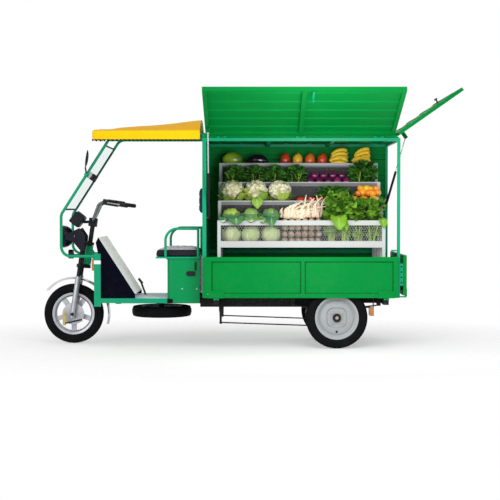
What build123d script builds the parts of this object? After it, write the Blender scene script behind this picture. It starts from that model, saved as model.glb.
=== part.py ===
from build123d import *
import os
from math import cos, hypot, radians, sin, tan

# Electric cargo tricycle with a lift-up market stall on its bed.
# Millimetres, front of the vehicle at -X, serving side at -Y, +Z up, ground at Z = 0.
# While it is drawn, X = 0 lies near the middle of the bed and Y = 0 on the centre line.

# General fits
slip = 0.05
air = 0.3

# Wheels
tyre_r = 236.0
tyre_w = 84.0
rim_r = 166.0
rim_w = 76.0
front_axle_x = -1397.0
rear_axle_x = 660.0
wheel_inset = 52.0

# Steering and fork
rake_deg = 8.5
trail_offset = 45.0
fork_half = 76.0
fork_tube_r = 16.0
slider_r = 22.0
slider_top = 300.0
slider_foot = 30.0
slider_blind = 60.0
fork_travel = 60.0
head_low = 400.0
head_len = 150.0
head_r = 29.0
stem_r = 18.0
crown_h = 24.0
bar_r = 11.0
bar_half = 345.0
bar_rise = 190.0
grip_len = 120.0
grip_r = 16.0
lamp_r = 88.0
lamp_depth = 95.0
mudguard_r = 290.0
mudguard_w = 104.0
sheet = 3.0

# Cab
cab_half = 340.0
pillar_x = (-1198.0, -1148.0)
pillar_z = (313.0, 719.0)
pillar_t = 30.0
hoop_r = 11.0
hoop_low_z = 700.0
hoop_front_x = -1450.0
hoop_knee_z = 1020.0
hoop_top_x = -1062.0
hoop_top_z = 1625.0
hoop_bend = 75.0
floor_front_x = -1035.0
floor_t = 4.0
floor_z = 376.0
floor_rail_h = 36.0
glass_t = 5.0
glass_low_z = 1066.0
glass_high_z = 1545.0
shield_top = (-1168.0, 845.0)
shield_foot = (-885.0, 407.0)

# Foot brake
pedal_y = 135.0
pedal_pivot = (-830.0, 350.0)
pedal_pad = (-880.0, 485.0)
pedal_slot_x = (-890.0, -815.0)
link_z = 316.0
relay_at = (-225.0, 286.0)
relay_drop = 95.0
relay_y = 345.0

# Canopy
canopy_x = (-1194.0, -376.0)
canopy_over = 10.0
canopy_hem_z = 1592.0
canopy_valance = 62.0
canopy_crown_front = 34.0
canopy_crown_rear = 112.0
canopy_t = 5.0
canopy_teeth = 26
tooth_h = 14.0

# Seat
seat_box_x = (-637.0, -387.0)
seat_box_half = 330.0
seat_box_z = (340.0, 684.0)
seat_base_t = 12.0
seat_front_over = 86.0
cushion_h = 52.0
cushion_crown = 20.0
armrest_r = 10.0
armrest_z = 912.0
armrest_bend = 92.0
backrest_z = (1026.0, 1230.0)
backrest_half = 210.0
backrest_t = 36.0

# Chassis
rail_y = 230.0
rail_w = 40.0
rail_z = (305.0, 385.0)
rail_tail_z = 335.0
rail_x = (-386.0, 480.0, 1056.0)
front_rail_h = 40.0
bearer_w = 40.0
tyre_air = 10.0
bed_t = 4.0
axle_r = 30.0
spring_y = 305.0
spring_w = 44.0
spring_half = 330.0
spring_eye_z = 335.0
spring_eye_r = 15.0
leaf_t = 7.0
axle_travel = 28.0
spare_x = -700.0
spare_z = 215.0

# Stall box
box_x = (-361.0, 1137.0)
box_half = 470.0
post_x = 30.0
post_y = 40.0
rear_post_x = 20.0
roof_z = 1600.0
roof_rail_h = 24.0
board_x = (-351.0, 1121.0)
board_z = (390.0, 700.0)
board_t = 30.0
board_rail = 34.0
tailgate_gap = 26.0
tailgate_t = 25.0
tailgate_z = (408.0, 712.0)
hinge_r = 7.0
pin_r = 4.0
door_x = (-335.0, 1094.0)
door_d = (10.0, 830.0)
door_t = 30.0
door_rail = 30.0
door_rest_deg = 109.0
flap_d = (10.0, 600.0)
flap_t = 26.0
flap_rest_deg = 125.0
rib_h = 7.0
skin_t = 2.5
strut_tube_r = 10.0
strut_rod_r = 5.0
door_strut_foot = (-450.0, 998.0)
door_strut_at = 185.0
door_standoff = 52.0
door_tube = 350.0
flap_strut_foot = (1118.0, 1085.0)
flap_strut_at = 150.0
flap_standoff = 60.0
flap_tube = 300.0

# Display rack
rack_x = (-248.0, 1031.0)
rack_front = -420.0
rack_post = 25.0
step_depth = 205.0
tray_z = (770.0, 976.0)
tray_rail_low = 48.0
tray_rail_high = 37.0
shelf_z = (1094.0, 1243.0, 1400.0)
shelf_lip = 34.0
shelf_t = 3.0

# Sizes that follow from these
axle_z = tyre_r
half_track = box_half - wheel_inset
canopy_half = box_half + canopy_over
bed_low = 2 * tyre_r + axle_travel + tyre_air
bearer_z = (bed_low - bearer_w, bed_low)


def block(x, y, z):
    # Box between two ends on each axis
    size = [b - a for a, b in (x, y, z)]
    mid = [(a + b) / 2 for a, b in (x, y, z)]
    return Pos(*mid) * Box(*size)


def rod(a, b, r):
    # Round bar from a to b
    run = Vector(*b) - Vector(*a)
    return extrude(Plane(Vector(*a), z_dir=run) * Circle(r), run.length)


def pipe(a, b, r, bore):
    # Round bar with a through bore
    run = Vector(*b) - Vector(*a)
    return extrude(Plane(Vector(*a), z_dir=run) * (Circle(r) - Circle(bore)), run.length)


def bent_rod(points, bend, r):
    # Straight bars joined face to face by bends of one radius
    spots = [Vector(*p) for p in points]
    solids = []
    start = spots[0]
    for before, corner, after in zip(spots, spots[1:], spots[2:]):
        back = (before - corner).normalized()
        ahead = (after - corner).normalized()
        turn = 180 - back.get_angle(ahead)
        reach = bend * tan(radians(turn) / 2)
        enter = corner + back * reach
        leave = corner + ahead * reach
        solids.append(rod(start, enter, r))
        arc = Edge.make_tangent_arc(enter, back * -1, leave)
        solids.append(sweep(Plane(enter, z_dir=back * -1) * Circle(r), path=arc))
        start = leave
    solids.append(rod(start, spots[-1], r))
    return solids


def plate(plane, points, thick):
    # Flat plate of a straight-sided outline, thickened both ways
    return extrude(plane * make_face(Polyline(*points, close=True)), thick / 2, both=True)


def mirrored(solids):
    # The same pieces on the far side
    return [s.mirror(Plane.XZ) for s in solids]


def both_sides(solids):
    return solids + mirrored(solids)


def spun(face, low_deg, high_deg):
    # Turn a face about the Y axis between two angles measured above +X
    return Rot(0, -high_deg, 0) * revolve(face, Axis.Y, high_deg - low_deg)


nodes = {}

# Wheels: drawn about the Y axis with the outer side at -Y
bead_r = rim_r - 14.0
bead_half = rim_w / 2 - 4.5
wall_half = tyre_w / 2
shoulder_r = tyre_r - 10.0
hub_r = 46.0
drum_r = 95.0
drum_y = (8.0, 45.0)
spindle_r = 14.0
bolt_circle = 105.0
bolt_count = 4
wheel_stud_r = 8.0
wheel_stud_y = -38.0
boss_r = 27.0
boss_y = -29.0
valve_at = 108.0
valve_r = 9.0
cap_r = 32.0
cap_y = -44.0
far_wheel_turn = 45.0


def tyre():
    inner = bead_r + air
    side = [
        Line((inner, bead_half), (inner, -bead_half)),
        Line((inner, -bead_half), (rim_r + air, -bead_half)),
        ThreePointArc(
            (rim_r + air, -bead_half), (0.5 * (rim_r + shoulder_r), -wall_half),
            (shoulder_r, -wall_half + 5)
        ),
        ThreePointArc((shoulder_r, -wall_half + 5), (tyre_r, 0), (shoulder_r, wall_half - 5)),
        ThreePointArc(
            (shoulder_r, wall_half - 5), (0.5 * (rim_r + shoulder_r), wall_half), (rim_r + air, bead_half)
        ),
        Line((rim_r + air, bead_half), (inner, bead_half)),
    ]
    return revolve(make_face(side), Axis.Y)


def rim_barrel():
    # Drop-centre rim with a flange at each edge
    edge, well, metal = rim_w / 2, bead_r - 12.0, 4.0
    outer = [(rim_r, -edge), (rim_r, -edge + metal), (bead_r, -bead_half), (bead_r, -20), (well, -12)]
    inner = [
        (well - metal, -14), (bead_r - metal, -22), (bead_r - metal, -edge + 2), (rim_r - metal, -edge)
    ]
    outer += [(r, -y) for r, y in reversed(outer)]
    inner = [(r, -y) for r, y in reversed(inner)] + inner
    return revolve(make_face(Polyline(*outer, *inner, close=True)), Axis.Y)


def rear_rim():
    # Pressed disc, hub and brake drum, with four stud bosses round the cap
    well = bead_r - 15.0
    disc = [
        (spindle_r + slip, -26), (70, -26), (108, -20), (well, -13), (well, -8), (108, -16), (70, -21),
        (spindle_r + slip, -21)
    ]
    solid = rim_barrel() + revolve(make_face(Polyline(*disc, close=True)), Axis.Y)
    hub = revolve(Rectangle(hub_r - spindle_r - slip, drum_y[1] + 24, align=(Align.MIN, Align.MIN)).moved(
        Location((spindle_r + slip, -24))), Axis.Y)
    drum = revolve(
        Rectangle(drum_r - hub_r + 1, 5, align=(Align.MIN, Align.MIN)).moved(
            Location((hub_r - 1, drum_y[0]))
        ),
        Axis.Y
    )
    skirt = revolve(
        Rectangle(5, drum_y[1] - drum_y[0], align=(Align.MIN, Align.MIN)).moved(
            Location((drum_r - 5, drum_y[0]))
        ),
        Axis.Y
    )
    solid = solid + hub + drum + skirt
    for i in range(bolt_count):
        turn = radians(45 + i * 360 / bolt_count)
        x, z = bolt_circle / 2 * cos(turn), bolt_circle / 2 * sin(turn)
        solid = solid + rod((x, boss_y + 5, z), (x, boss_y, z), boss_r)
        solid = solid + rod((x, boss_y + 1, z), (x, wheel_stud_y, z), wheel_stud_r)
    valve = rod((0, -rim_w, -valve_at), (0, 0, -valve_at), valve_r)
    cap = rod((0, cap_y, 0), (0, -26, 0), cap_r)
    return [solid - valve, cap]


def front_rim():
    # Cast wheel: barrel, hub and five broad spokes
    hub_half = 40.0
    spoke_half = 13.0
    well = bead_r - 14.0
    solid = rim_barrel()
    solid = solid + revolve(
        Rectangle(hub_r - front_axle_r - slip, 2 * hub_half, align=(Align.MIN, Align.CENTER)).moved(
            Location((front_axle_r + slip, 0))
        ),
        Axis.Y
    )
    for i in range(5):
        spoke = block((hub_r - 4, well), (-spoke_half, spoke_half), (-19, 19))
        solid = solid + Rot(0, 90 + i * 72, 0) * spoke
    return solid


front_axle_r = 8.0
rear_near = Pos(rear_axle_x, -half_track, axle_z)
front_hub = Pos(front_axle_x, 0, axle_z)
near_tyre = rear_near * tyre()
near_rim = [rear_near * s for s in rear_rim()]
far_rim = [rear_near * Rot(0, far_wheel_turn, 0) * s for s in rear_rim()]
nodes["near_rear_tyre"] = [near_tyre]
nodes["near_rear_rim"] = near_rim
nodes["far_rear_tyre"] = mirrored([near_tyre])
nodes["far_rear_rim"] = mirrored(far_rim)
nodes["front_tyre"] = [front_hub * tyre()]
nodes["front_rim"] = [front_hub * front_rim()]

# Steering frame: z runs up the steering axis, x to the rear
rake = radians(rake_deg)
steer = Plane(
    origin=(front_axle_x + trail_offset * cos(rake), 0, axle_z - trail_offset * sin(rake)),
    x_dir=(cos(rake), 0, -sin(rake)),
    z_dir=(sin(rake), 0, cos(rake)),
).location

# Fork: sliders, axle, brake plate and mudguard move up and down on the fork tubes
lower_crown_z = (head_low - 4 - crown_h, head_low - 4)
upper_crown_z = (head_low + head_len + 4, head_low + head_len + 4 + crown_h)
plate_y = (-52.0, -44.0)


def slider(side):
    y = side * fork_half
    body = pipe(
        (-trail_offset, y, slider_blind), (-trail_offset, y, slider_top), slider_r, fork_tube_r + slip
    )
    foot = rod((-trail_offset, y, -slider_foot), (-trail_offset, y, slider_blind), slider_r)
    return body + foot


sliders = [slider(-1), slider(1)]
axle = rod(
    (-trail_offset, -fork_half - slider_r - 14, 0), (-trail_offset, fork_half + slider_r + 14, 0),
    front_axle_r
)
brake_disc = rod((-trail_offset, plate_y[0], 0), (-trail_offset, plate_y[1], 0), 86)
brake_arm = plate(Plane.XZ.offset(-plate_y[0] + 3), [(-94, -62), (-90, -74), (36, -50), (38, -40)], 6)
sliders = [s - axle for s in sliders]
brake_disc = brake_disc - axle
nodes["fork_sliders"] = [steer * s for s in sliders + [axle, brake_disc, brake_arm]]

guard_inner = mudguard_r - sheet
guard_drop = 14.0
guard_face = make_face([
    ThreePointArc(
        (mudguard_r - guard_drop, -mudguard_w / 2), (mudguard_r, 0),
        (mudguard_r - guard_drop, mudguard_w / 2)
    ),
    Line((mudguard_r - guard_drop, mudguard_w / 2), (guard_inner - guard_drop, mudguard_w / 2)),
    ThreePointArc(
        (guard_inner - guard_drop, mudguard_w / 2), (guard_inner, 0),
        (guard_inner - guard_drop, -mudguard_w / 2)
    ),
    Line((guard_inner - guard_drop, -mudguard_w / 2), (mudguard_r - guard_drop, -mudguard_w / 2)),
])
mudguard = front_hub * spun(guard_face, -17, 139)
lugs = []
for side in (-1, 1):
    near, far = side * (mudguard_w / 2), side * (fork_half - 6)
    lug = block((-trail_offset - 12, -trail_offset + 12), tuple(sorted((near, far))), (262, 286))
    lugs.append(
        steer * (
            lug - rod(
                (-trail_offset, side * fork_half, 200), (-trail_offset, side * fork_half, 320), slider_r
            )
        )
    )
nodes["front_mudguard"] = [mudguard] + lugs

# Steering stem with both crowns and the fork tubes
clamp_z = bar_rise + upper_crown_z[1] - 30
bar_mid_z = clamp_z + 10
stem = rod((0, 0, lower_crown_z[0]), (0, 0, clamp_z - 34), stem_r)
crowns = []
for low, high in (lower_crown_z, upper_crown_z):
    crown = extrude(Plane.XY.offset(low) * make_hull(
        (Pos(-trail_offset, -fork_half) * Circle(fork_tube_r + 10)).edges()
        + (Pos(-trail_offset, fork_half) * Circle(fork_tube_r + 10)).edges()
        + Circle(stem_r + 14).edges()), high - low)
    for side in (-1, 1):
        crown = crown - rod(
            (-trail_offset, side * fork_half, low), (-trail_offset, side * fork_half, high), fork_tube_r
        )
    crowns.append(crown - stem)
tube_foot = slider_blind + fork_travel
tubes = [
    rod((-trail_offset, y, tube_foot), (-trail_offset, y, upper_crown_z[1]), fork_tube_r)
    for y in (-fork_half, fork_half)
]
clamp_half = 30.0
clamp_body = block((-32, 32), (-clamp_half, clamp_half), (clamp_z - 34, clamp_z + 32))
clamp = clamp_body - rod((0, -60, bar_mid_z), (0, 60, bar_mid_z), bar_r + slip)
nodes["steering_stem"] = [steer * s for s in [stem] + crowns + [clamp] + tubes]


# Handlebar: one swept tube, drawn in the steering frame
bar_low = (0, 55, bar_mid_z)
bar_top = (33, 95, bar_mid_z + 135)
bar_knee = (70, 130, bar_mid_z + 162)
bar_end = (275, bar_half, bar_mid_z + 162)
bar_bend = 32.0
near_run = [(x, -y, z) for x, y, z in (bar_end, bar_knee, bar_top, bar_low)]
bar_path = FilletPolyline(*near_run, *[(x, -y, z) for x, y, z in reversed(near_run)], radius=bar_bend)
bar_start = Plane(bar_path @ 0, z_dir=bar_path % 0)
nodes["handlebar"] = [steer * sweep(bar_start * Circle(bar_r), path=bar_path)]

# Controls on one half of the bar: x runs out along the grip, y to the rear
half_bar = Plane(
    origin=(bar_knee[0], -bar_knee[1], bar_knee[2]),
    x_dir=(bar_end[0] - bar_knee[0], bar_knee[1] - bar_end[1], 0),
    z_dir=(0, 0, 1),
).location
bar_run = hypot(bar_end[0] - bar_knee[0], bar_end[1] - bar_knee[1])
grip_x = (bar_run - grip_len, bar_run + 4)
switch_x = (24.0, grip_x[0] - 4)
lever_pin = (switch_x[1] - 52, -40.0)
lever_t = 10.0
switch = fillet(block(switch_x, (-23, 23), (-21, 24)).edges().filter_by(Axis.X), 9)
perch = [
    block((lever_pin[0] - 14, lever_pin[0] + 14), (-52, -23), z)
    for z in ((-14, -lever_t / 2), (lever_t / 2, 14))
]
perch_pin = rod((*lever_pin, -14), (*lever_pin, 14), pin_r)
bar_hole = rod((-20, 0, 0), (bar_run + 20, 0, 0), bar_r + slip)
perch = [p - perch_pin for p in perch]
controls = [switch - bar_hole] + perch + [perch_pin]
grip = rod((grip_x[0], 0, 0), (grip_x[1], 0, 0), grip_r) - rod((0, 0, 0), (bar_run, 0, 0), bar_r + slip)
grip = grip + rod((grip_x[0], 0, 0), (grip_x[0] + 5, 0, 0), grip_r + 4) - rod(
    (0, 0, 0), (bar_run, 0, 0), bar_r + slip
)
lever = make_face([
    ThreePointArc((lever_pin[0] - 9, -34), (lever_pin[0] - 6, -49), (lever_pin[0] + 4, -52)),
    Spline((lever_pin[0] + 4, -52), (lever_pin[0] + 60, -70), (grip_x[1] - 14, -72)),
    ThreePointArc((grip_x[1] - 14, -72), (grip_x[1] - 7, -67), (grip_x[1] - 14, -62)),
    Spline((grip_x[1] - 14, -62), (lever_pin[0] + 60, -59), (lever_pin[0] + 10, -32)),
    Line((lever_pin[0] + 10, -32), (lever_pin[0] - 9, -34)),
])
lever = extrude(lever, lever_t / 2 - air, both=True) - rod(
    (*lever_pin, -20), (*lever_pin, 20), pin_r + slip
)
near_bar = [steer * (half_bar * s) for s in controls]
near_grip = steer * (half_bar * grip)
near_lever = steer * (half_bar * lever)
nodes["bar_controls"] = both_sides(near_bar) + [near_grip]
nodes["throttle_grip"] = mirrored([near_grip])
nodes["near_brake_lever"] = [near_lever]
nodes["far_brake_lever"] = mirrored([near_lever])

# Instrument pod, tipped towards the rider
pod_place = Pos(-1364, 0, 981) * Rot(0, 38, 0)
pod = pod_place * fillet(Box(92, 150, 99).edges(), 12)
bezel = pod_place * Pos(0, 0, 49.5) * (Cylinder(40, 5, align=(Align.CENTER, Align.CENTER, Align.MIN)))
stay = block((-1325, -1240), (-16, 16), (950, 972)) - pod - steer * clamp_body
nodes["instrument_pod"] = [pod, bezel, stay.solids().sort_by(Axis.X)[-1]]

# Headlamp bowl, its lens, and the two bracket plates that hold it on the fork tubes
lamp_front = -1488.0
lamp_z = 845.0
lens_t = 8.0
plate_in = fork_half + fork_tube_r + 10 + air
bowl_face = make_face([
    Line((0, 0), (0, lamp_r)),
    Line((0, lamp_r), (14, lamp_r)),
    ThreePointArc((14, lamp_r), (66, 0.74 * lamp_r), (lamp_depth, 0.3 * lamp_r)),
    Line((lamp_depth, 0.3 * lamp_r), (lamp_depth, 0)),
    Line((lamp_depth, 0), (0, 0)),
])
lamp_place = Pos(lamp_front, 0, lamp_z)
bowl = lamp_place * revolve(bowl_face, Axis.X)
lens_r = lamp_r - 8
lens_dome = 11.0
dome_r = (lens_r ** 2 + lens_dome ** 2) / (2 * lens_dome)
lens = lamp_place * (
    rod((-20, 0, 0), (lens_t, 0, 0), lens_r) & Pos(dome_r - lens_dome, 0, 0) * Sphere(dome_r)
)
bowl = bowl - lamp_place * rod((-20, 0, 0), (lens_t, 0, 0), lens_r)
ears = [
    rod((lamp_front + 52, side * 0.8 * lamp_r, lamp_z), (lamp_front + 52, side * plate_in, lamp_z), 9) - bowl
    for side in (-1, 1)
]
bracket = [
    (-1332, 735), (-1302, 735), (-1296, 850), (-1340, 915), (-1400, 885), (-1452, 862), (-1452, 828),
    (-1385, 800)
]
cut = Plane.XZ.offset(plate_in + sheet / 2)
plates = [plate(cut, bracket, sheet) - rod((-1378, -300, 846), (-1378, 300, 846), 12)]
horn = rod((-1438, 0, 706), (-1400, 0, 706), 36)
horn_stay = block((-1400, -1330), (-14, 14), (700, 706)) - steer * block(
    (-90, 40), (-90, 90), (lower_crown_z[0], lower_crown_z[1])
)
crown_lug = steer * block(
    (-trail_offset - 20, -trail_offset + 6), (-14, 14), (lower_crown_z[1], lower_crown_z[1] + 84)
)
nodes["headlamp"] = [bowl] + ears
nodes["headlamp_lens"] = [lens]
nodes["headlamp"] += both_sides(plates) + [
    horn, crown_lug, (horn_stay - crown_lug - horn).solids().sort_by(Axis.X)[0]
]

# Cab frame: head tube, backbone, pillars, hoops and floor rails
head = steer * pipe((0, 0, head_low), (0, 0, head_low + head_len), head_r, stem_r + slip)
brace_x, brace_z, brace_r = -1172.0, hoop_low_z, 12.0
pillar_in = cab_half - pillar_t
front_beam = block(
    (floor_front_x, floor_front_x + rail_w), (-pillar_in, pillar_in),
    (floor_z - floor_t - front_rail_h, floor_z - floor_t)
)
head_core = steer * rod((0, 0, head_low - 50), (0, 0, head_low + head_len + 50), head_r)
backbone = rod((-1278, 0, 760), (floor_front_x, 0, floor_z - 24), 20) - head_core
backbone = backbone.solids().sort_by(Axis.X)[-1]
backbone = backbone - block((floor_front_x, 0), (-100, 100), (0, 500))
brace = rod((brace_x, -pillar_in, brace_z), (brace_x, pillar_in, brace_z), brace_r)
neck = (
    rod((-1275, 0, brace_z), (brace_x, 0, brace_z), 14) - head_core - brace - backbone
).solids().sort_by(Axis.X)[-1]
pillar = block(pillar_x, (-cab_half, -pillar_in), pillar_z)
floor_rail = block((pillar_x[1], seat_box_x[0]), (-cab_half, -pillar_in), (floor_z - floor_rail_h, floor_z))
hoop_y = -cab_half + hoop_r
slant = Vector(hoop_top_x - hoop_front_x, 0, hoop_top_z - hoop_knee_z).normalized()
hoop_points = [
    (pillar_x[0], hoop_y, hoop_low_z), (hoop_front_x, hoop_y, hoop_low_z),
    (hoop_front_x, hoop_y, hoop_knee_z), (hoop_top_x, hoop_y, hoop_top_z), (box_x[0], hoop_y, hoop_top_z)
]
hoop = bent_rod(hoop_points, hoop_bend, hoop_r)
nodes["cab_frame"] = [head, backbone, brace, neck, front_beam] + both_sides([pillar, floor_rail] + hoop)

# Footwell floor and leg shield
foot_plate = block((floor_front_x, seat_box_x[0]), (-pillar_in, pillar_in), (floor_z - floor_t, floor_z))
foot_plate = foot_plate - block(pedal_slot_x, (pedal_y - 12, pedal_y + 12), (floor_z - 10, floor_z + 10))
cheek_outline = [
    shield_top, shield_foot, (shield_foot[0], floor_z), (pillar_x[1], floor_z), (pillar_x[1] - 6, 640),
    (pillar_x[1] - 40, shield_top[1] - 40)
]
cheek = plate(Plane.XZ.offset(pillar_in - sheet / 2), cheek_outline, sheet) - rod(
    (brace_x, -cab_half, brace_z), (brace_x, 0, brace_z), brace_r + air
)
shield_run = Vector(shield_foot[0] - shield_top[0], 0, shield_foot[1] - shield_top[1])
shield_plane = Plane(
    origin=(shield_top[0], 0, shield_top[1]), x_dir=shield_run, z_dir=(-shield_run.Z, 0, shield_run.X)
).location
shield_y = pillar_in - sheet
panel = shield_plane * block((0, shield_run.length), (-shield_y, shield_y), (-sheet, 0))
panel = panel - block((-1300, -800), (-400, 400), (floor_z - 200, floor_z))
nodes["leg_shield"] = [panel] + both_sides([cheek])

# Windshield glass in a black edge strip between the hoops
glass_plane = Plane(
    origin=(hoop_front_x, 0, hoop_knee_z), x_dir=slant, z_dir=(-slant.Z, 0, slant.X)
).location
glass_run = [(z - hoop_knee_z) / slant.Z for z in (glass_low_z, glass_high_z)]
strip_w = 11.0
strip_t = 12.0
strip_y = -hoop_y - hoop_r - air
glass = glass_plane * block(glass_run, (-strip_y + strip_w, strip_y - strip_w), (-glass_t / 2, glass_t / 2))
side_strip = glass_plane * block(glass_run, (-strip_y, -strip_y + strip_w), (-strip_t / 2, strip_t / 2))
end_strips = [glass_plane * block((x, x + strip_w), (-strip_y, strip_y), (-strip_t / 2, strip_t / 2))
              for x in (glass_run[0] - strip_w, glass_run[1])]
motor_run = 0.5 * (glass_run[0] + glass_run[1]) + 20
wiper_motor = glass_plane * block(
    (motor_run - 26, motor_run + 26), (-30, 30), (-glass_t / 2 - 44, -glass_t / 2)
)
nodes["windshield"] = [glass]
nodes["windshield_trim"] = both_sides([side_strip]) + end_strips + [wiper_motor]

# Mirror on the near hoop: a clamp on the tube, then a stalk and head that swivel in it
mirror_at = Vector(hoop_front_x, hoop_y, hoop_knee_z) + slant * 366
clamp_r = hoop_r + 7
socket = mirror_at + Vector(0, -clamp_r - 12, 0)
mirror_clamp = pipe(mirror_at - slant * 14, mirror_at + slant * 14, clamp_r, hoop_r)
mirror_clamp = mirror_clamp - block((-2000, 0), (hoop_y + 4, 0), (0, 2000))
mirror_boss = rod(mirror_at, socket, 9) - rod(mirror_at - slant * 40, mirror_at + slant * 40, clamp_r)
stalk_top = socket + Vector(-6, -14, 62)
stalk = rod(socket + Vector(0, 0, 9 + air), stalk_top, 6)
ball = rod(socket - Vector(0, 0, 9), socket + Vector(0, 0, 9), 9)
nodes["cab_frame"] += [mirror_clamp, mirror_boss - ball, ball]
mirror_place = Pos(*(stalk_top + Vector(4, -14, 58))) * Rot(0, 8, 0)
mirror_shell = mirror_place * scale(Sphere(10), (2.2, 5.8, 7.2))
mirror_shell = mirror_shell - mirror_place * block((8, 40), (-80, 80), (-90, 90))
mirror_glass = mirror_place * Pos(8, 0, 0) * extrude(Plane.YZ * Ellipse(46, 58), 3)
nodes["mirror"] = [mirror_shell + stalk, mirror_glass]

# Side markers on the pillars
marker_z = (pillar_z[1] - 129, pillar_z[1] - 37)
marker = block((pillar_x[0] - 18, pillar_x[0]), (-cab_half + 2, -pillar_in - 2), marker_z)
nodes["marker_lamps"] = both_sides([fillet(marker.edges().filter_by(Axis.Z), 4)])


# Canopy: arched cloth with a toothed valance, open below and at the rear
valance_top = canopy_hem_z + canopy_valance


def crown_at(x):
    share = (x - canopy_x[0]) / (canopy_x[1] - canopy_x[0])
    return canopy_crown_front + (canopy_crown_rear - canopy_crown_front) * share


def canopy_section(x, inset, hem):
    half, top = canopy_half - inset, valance_top - inset
    face = make_face([
        Line((-half, hem), (half, hem)),
        Line((half, hem), (half, top)),
        ThreePointArc((half, top), (0, top + crown_at(x)), (-half, top)),
        Line((-half, top), (-half, hem)),
    ])
    return Plane(origin=(x, 0, 0), x_dir=(0, 1, 0), z_dir=(1, 0, 0)) * face


def teeth(start, stop, count):
    # Saw-tooth strip along a hem, as an outline of alternating points
    pitch = (stop - start) / count
    points = [(start, canopy_hem_z - 5)]
    for i in range(count):
        points += [(start + i * pitch, canopy_hem_z), (start + (i + 0.5) * pitch, canopy_hem_z + tooth_h)]
    points += [(stop, canopy_hem_z), (stop, canopy_hem_z - 5)]
    return make_face(Polyline(*points, close=True))


canopy_out = loft([canopy_section(x, 0, canopy_hem_z) for x in canopy_x])
canopy_in = loft(
    [canopy_section(x, canopy_t, canopy_hem_z - 20) for x in (canopy_x[0] + canopy_t, canopy_x[1] + 20)]
)
side_teeth = extrude(
    Plane.XZ * teeth(canopy_x[0] + 8, canopy_x[1] - 8, canopy_teeth), 2 * canopy_half, both=True
)
front_teeth = Plane(origin=(canopy_x[0], 0, 0), x_dir=(0, 1, 0), z_dir=(1, 0, 0)) * teeth(
    8 - canopy_half, canopy_half - 8, canopy_teeth
)
canopy = canopy_out - canopy_in - side_teeth - extrude(front_teeth, 20, both=True)
nodes["canopy"] = [canopy]

# Tubes that carry the canopy: two edge rails and three bows on short stubs
edge_r, bow_r, cloth_gap = 6.0, 8.0, 0.5
edge_y = canopy_half - canopy_t - edge_r - air
edge_z = valance_top - canopy_t - 20
edge_rail = rod((canopy_x[0] + 20, -edge_y, edge_z), (canopy_x[1] - 2, -edge_y, edge_z), edge_r)
bows, stubs = [], []
for bow_x in (canopy_x[0] + 24, -1000.0, canopy_x[1] - 14):
    crown = crown_at(bow_x)
    arch_r = ((canopy_half - canopy_t) ** 2 + crown ** 2) / (2 * crown)
    mid_z = valance_top - canopy_t + crown - arch_r
    run_r = arch_r - bow_r - cloth_gap
    end_z = mid_z + (run_r ** 2 - edge_y ** 2) ** 0.5
    bow_path = ThreePointArc((bow_x, -edge_y, end_z), (bow_x, 0, mid_z + run_r), (bow_x, edge_y, end_z))
    bow = sweep(Plane(bow_path @ 0, z_dir=bow_path % 0) * Circle(bow_r), path=bow_path)
    bows.append(bow)
    if bow_x > hoop_top_x:
        stub_z = mid_z + (run_r ** 2 - hoop_y ** 2) ** 0.5
        stub = rod((bow_x, hoop_y, hoop_top_z + hoop_r - 1), (bow_x, hoop_y, stub_z), 7) - bow
        stubs.append(stub - rod((bow_x - 40, hoop_y, hoop_top_z), (bow_x + 40, hoop_y, hoop_top_z), hoop_r))
drops = []
for bow in bows:
    foot = bow.bounding_box()
    x = (foot.min.X + foot.max.X) / 2
    drop = rod((x, -edge_y, edge_z), (x, -edge_y, foot.min.Z + bow_r), edge_r) - bow - edge_rail
    drops.append(drop.solids().sort_by(SortBy.VOLUME)[-1])
nodes["cab_frame"] += bows + both_sides([edge_rail] + stubs + drops)

# Seat box on the front rails, with skirts down to the floor line
wall = 3.0
rail_top = floor_z - floor_t
seat_shell = fillet(
    block(
        seat_box_x, (-seat_box_half, seat_box_half), (rail_top, seat_box_z[1])
    ).edges().filter_by(Axis.Z).sort_by(Axis.X)[:2],
    40
)
seat_hollow = block(
    (seat_box_x[0] + wall, seat_box_x[1] - wall), (-seat_box_half + wall, seat_box_half - wall),
    (rail_top + wall, seat_box_z[1] + 10)
)
seat_hollow = fillet(seat_hollow.edges().filter_by(Axis.Z).sort_by(Axis.X)[:2], 40 - wall)
skirt = block(
    (seat_box_x[0] + 44, seat_box_x[1]), (-seat_box_half, -seat_box_half + wall),
    (seat_box_z[0], rail_top)
)
lid_z = (seat_box_z[1], seat_box_z[1] + seat_base_t)
lid_pin = (seat_box_x[0] - hinge_r - 1, lid_z[0] - hinge_r)
lid_pin_y = ((-200, -160), (-158, -118))
fixed_leaf = block((lid_pin[0], seat_box_x[0]), lid_pin_y[0], (lid_pin[1] - hinge_r, lid_pin[1] - 2))
fixed_knuckle = rod(
    (lid_pin[0], lid_pin_y[0][0], lid_pin[1]), (lid_pin[0], lid_pin_y[0][1], lid_pin[1]), hinge_r
)
lid_rod = rod((lid_pin[0], lid_pin_y[0][0], lid_pin[1]), (lid_pin[0], lid_pin_y[1][1], lid_pin[1]), pin_r)
lid_hinge = fixed_leaf + fixed_knuckle + lid_rod
nodes["seat_box"] = [seat_shell - seat_hollow] + both_sides([skirt]) + both_sides([lid_hinge])

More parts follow.
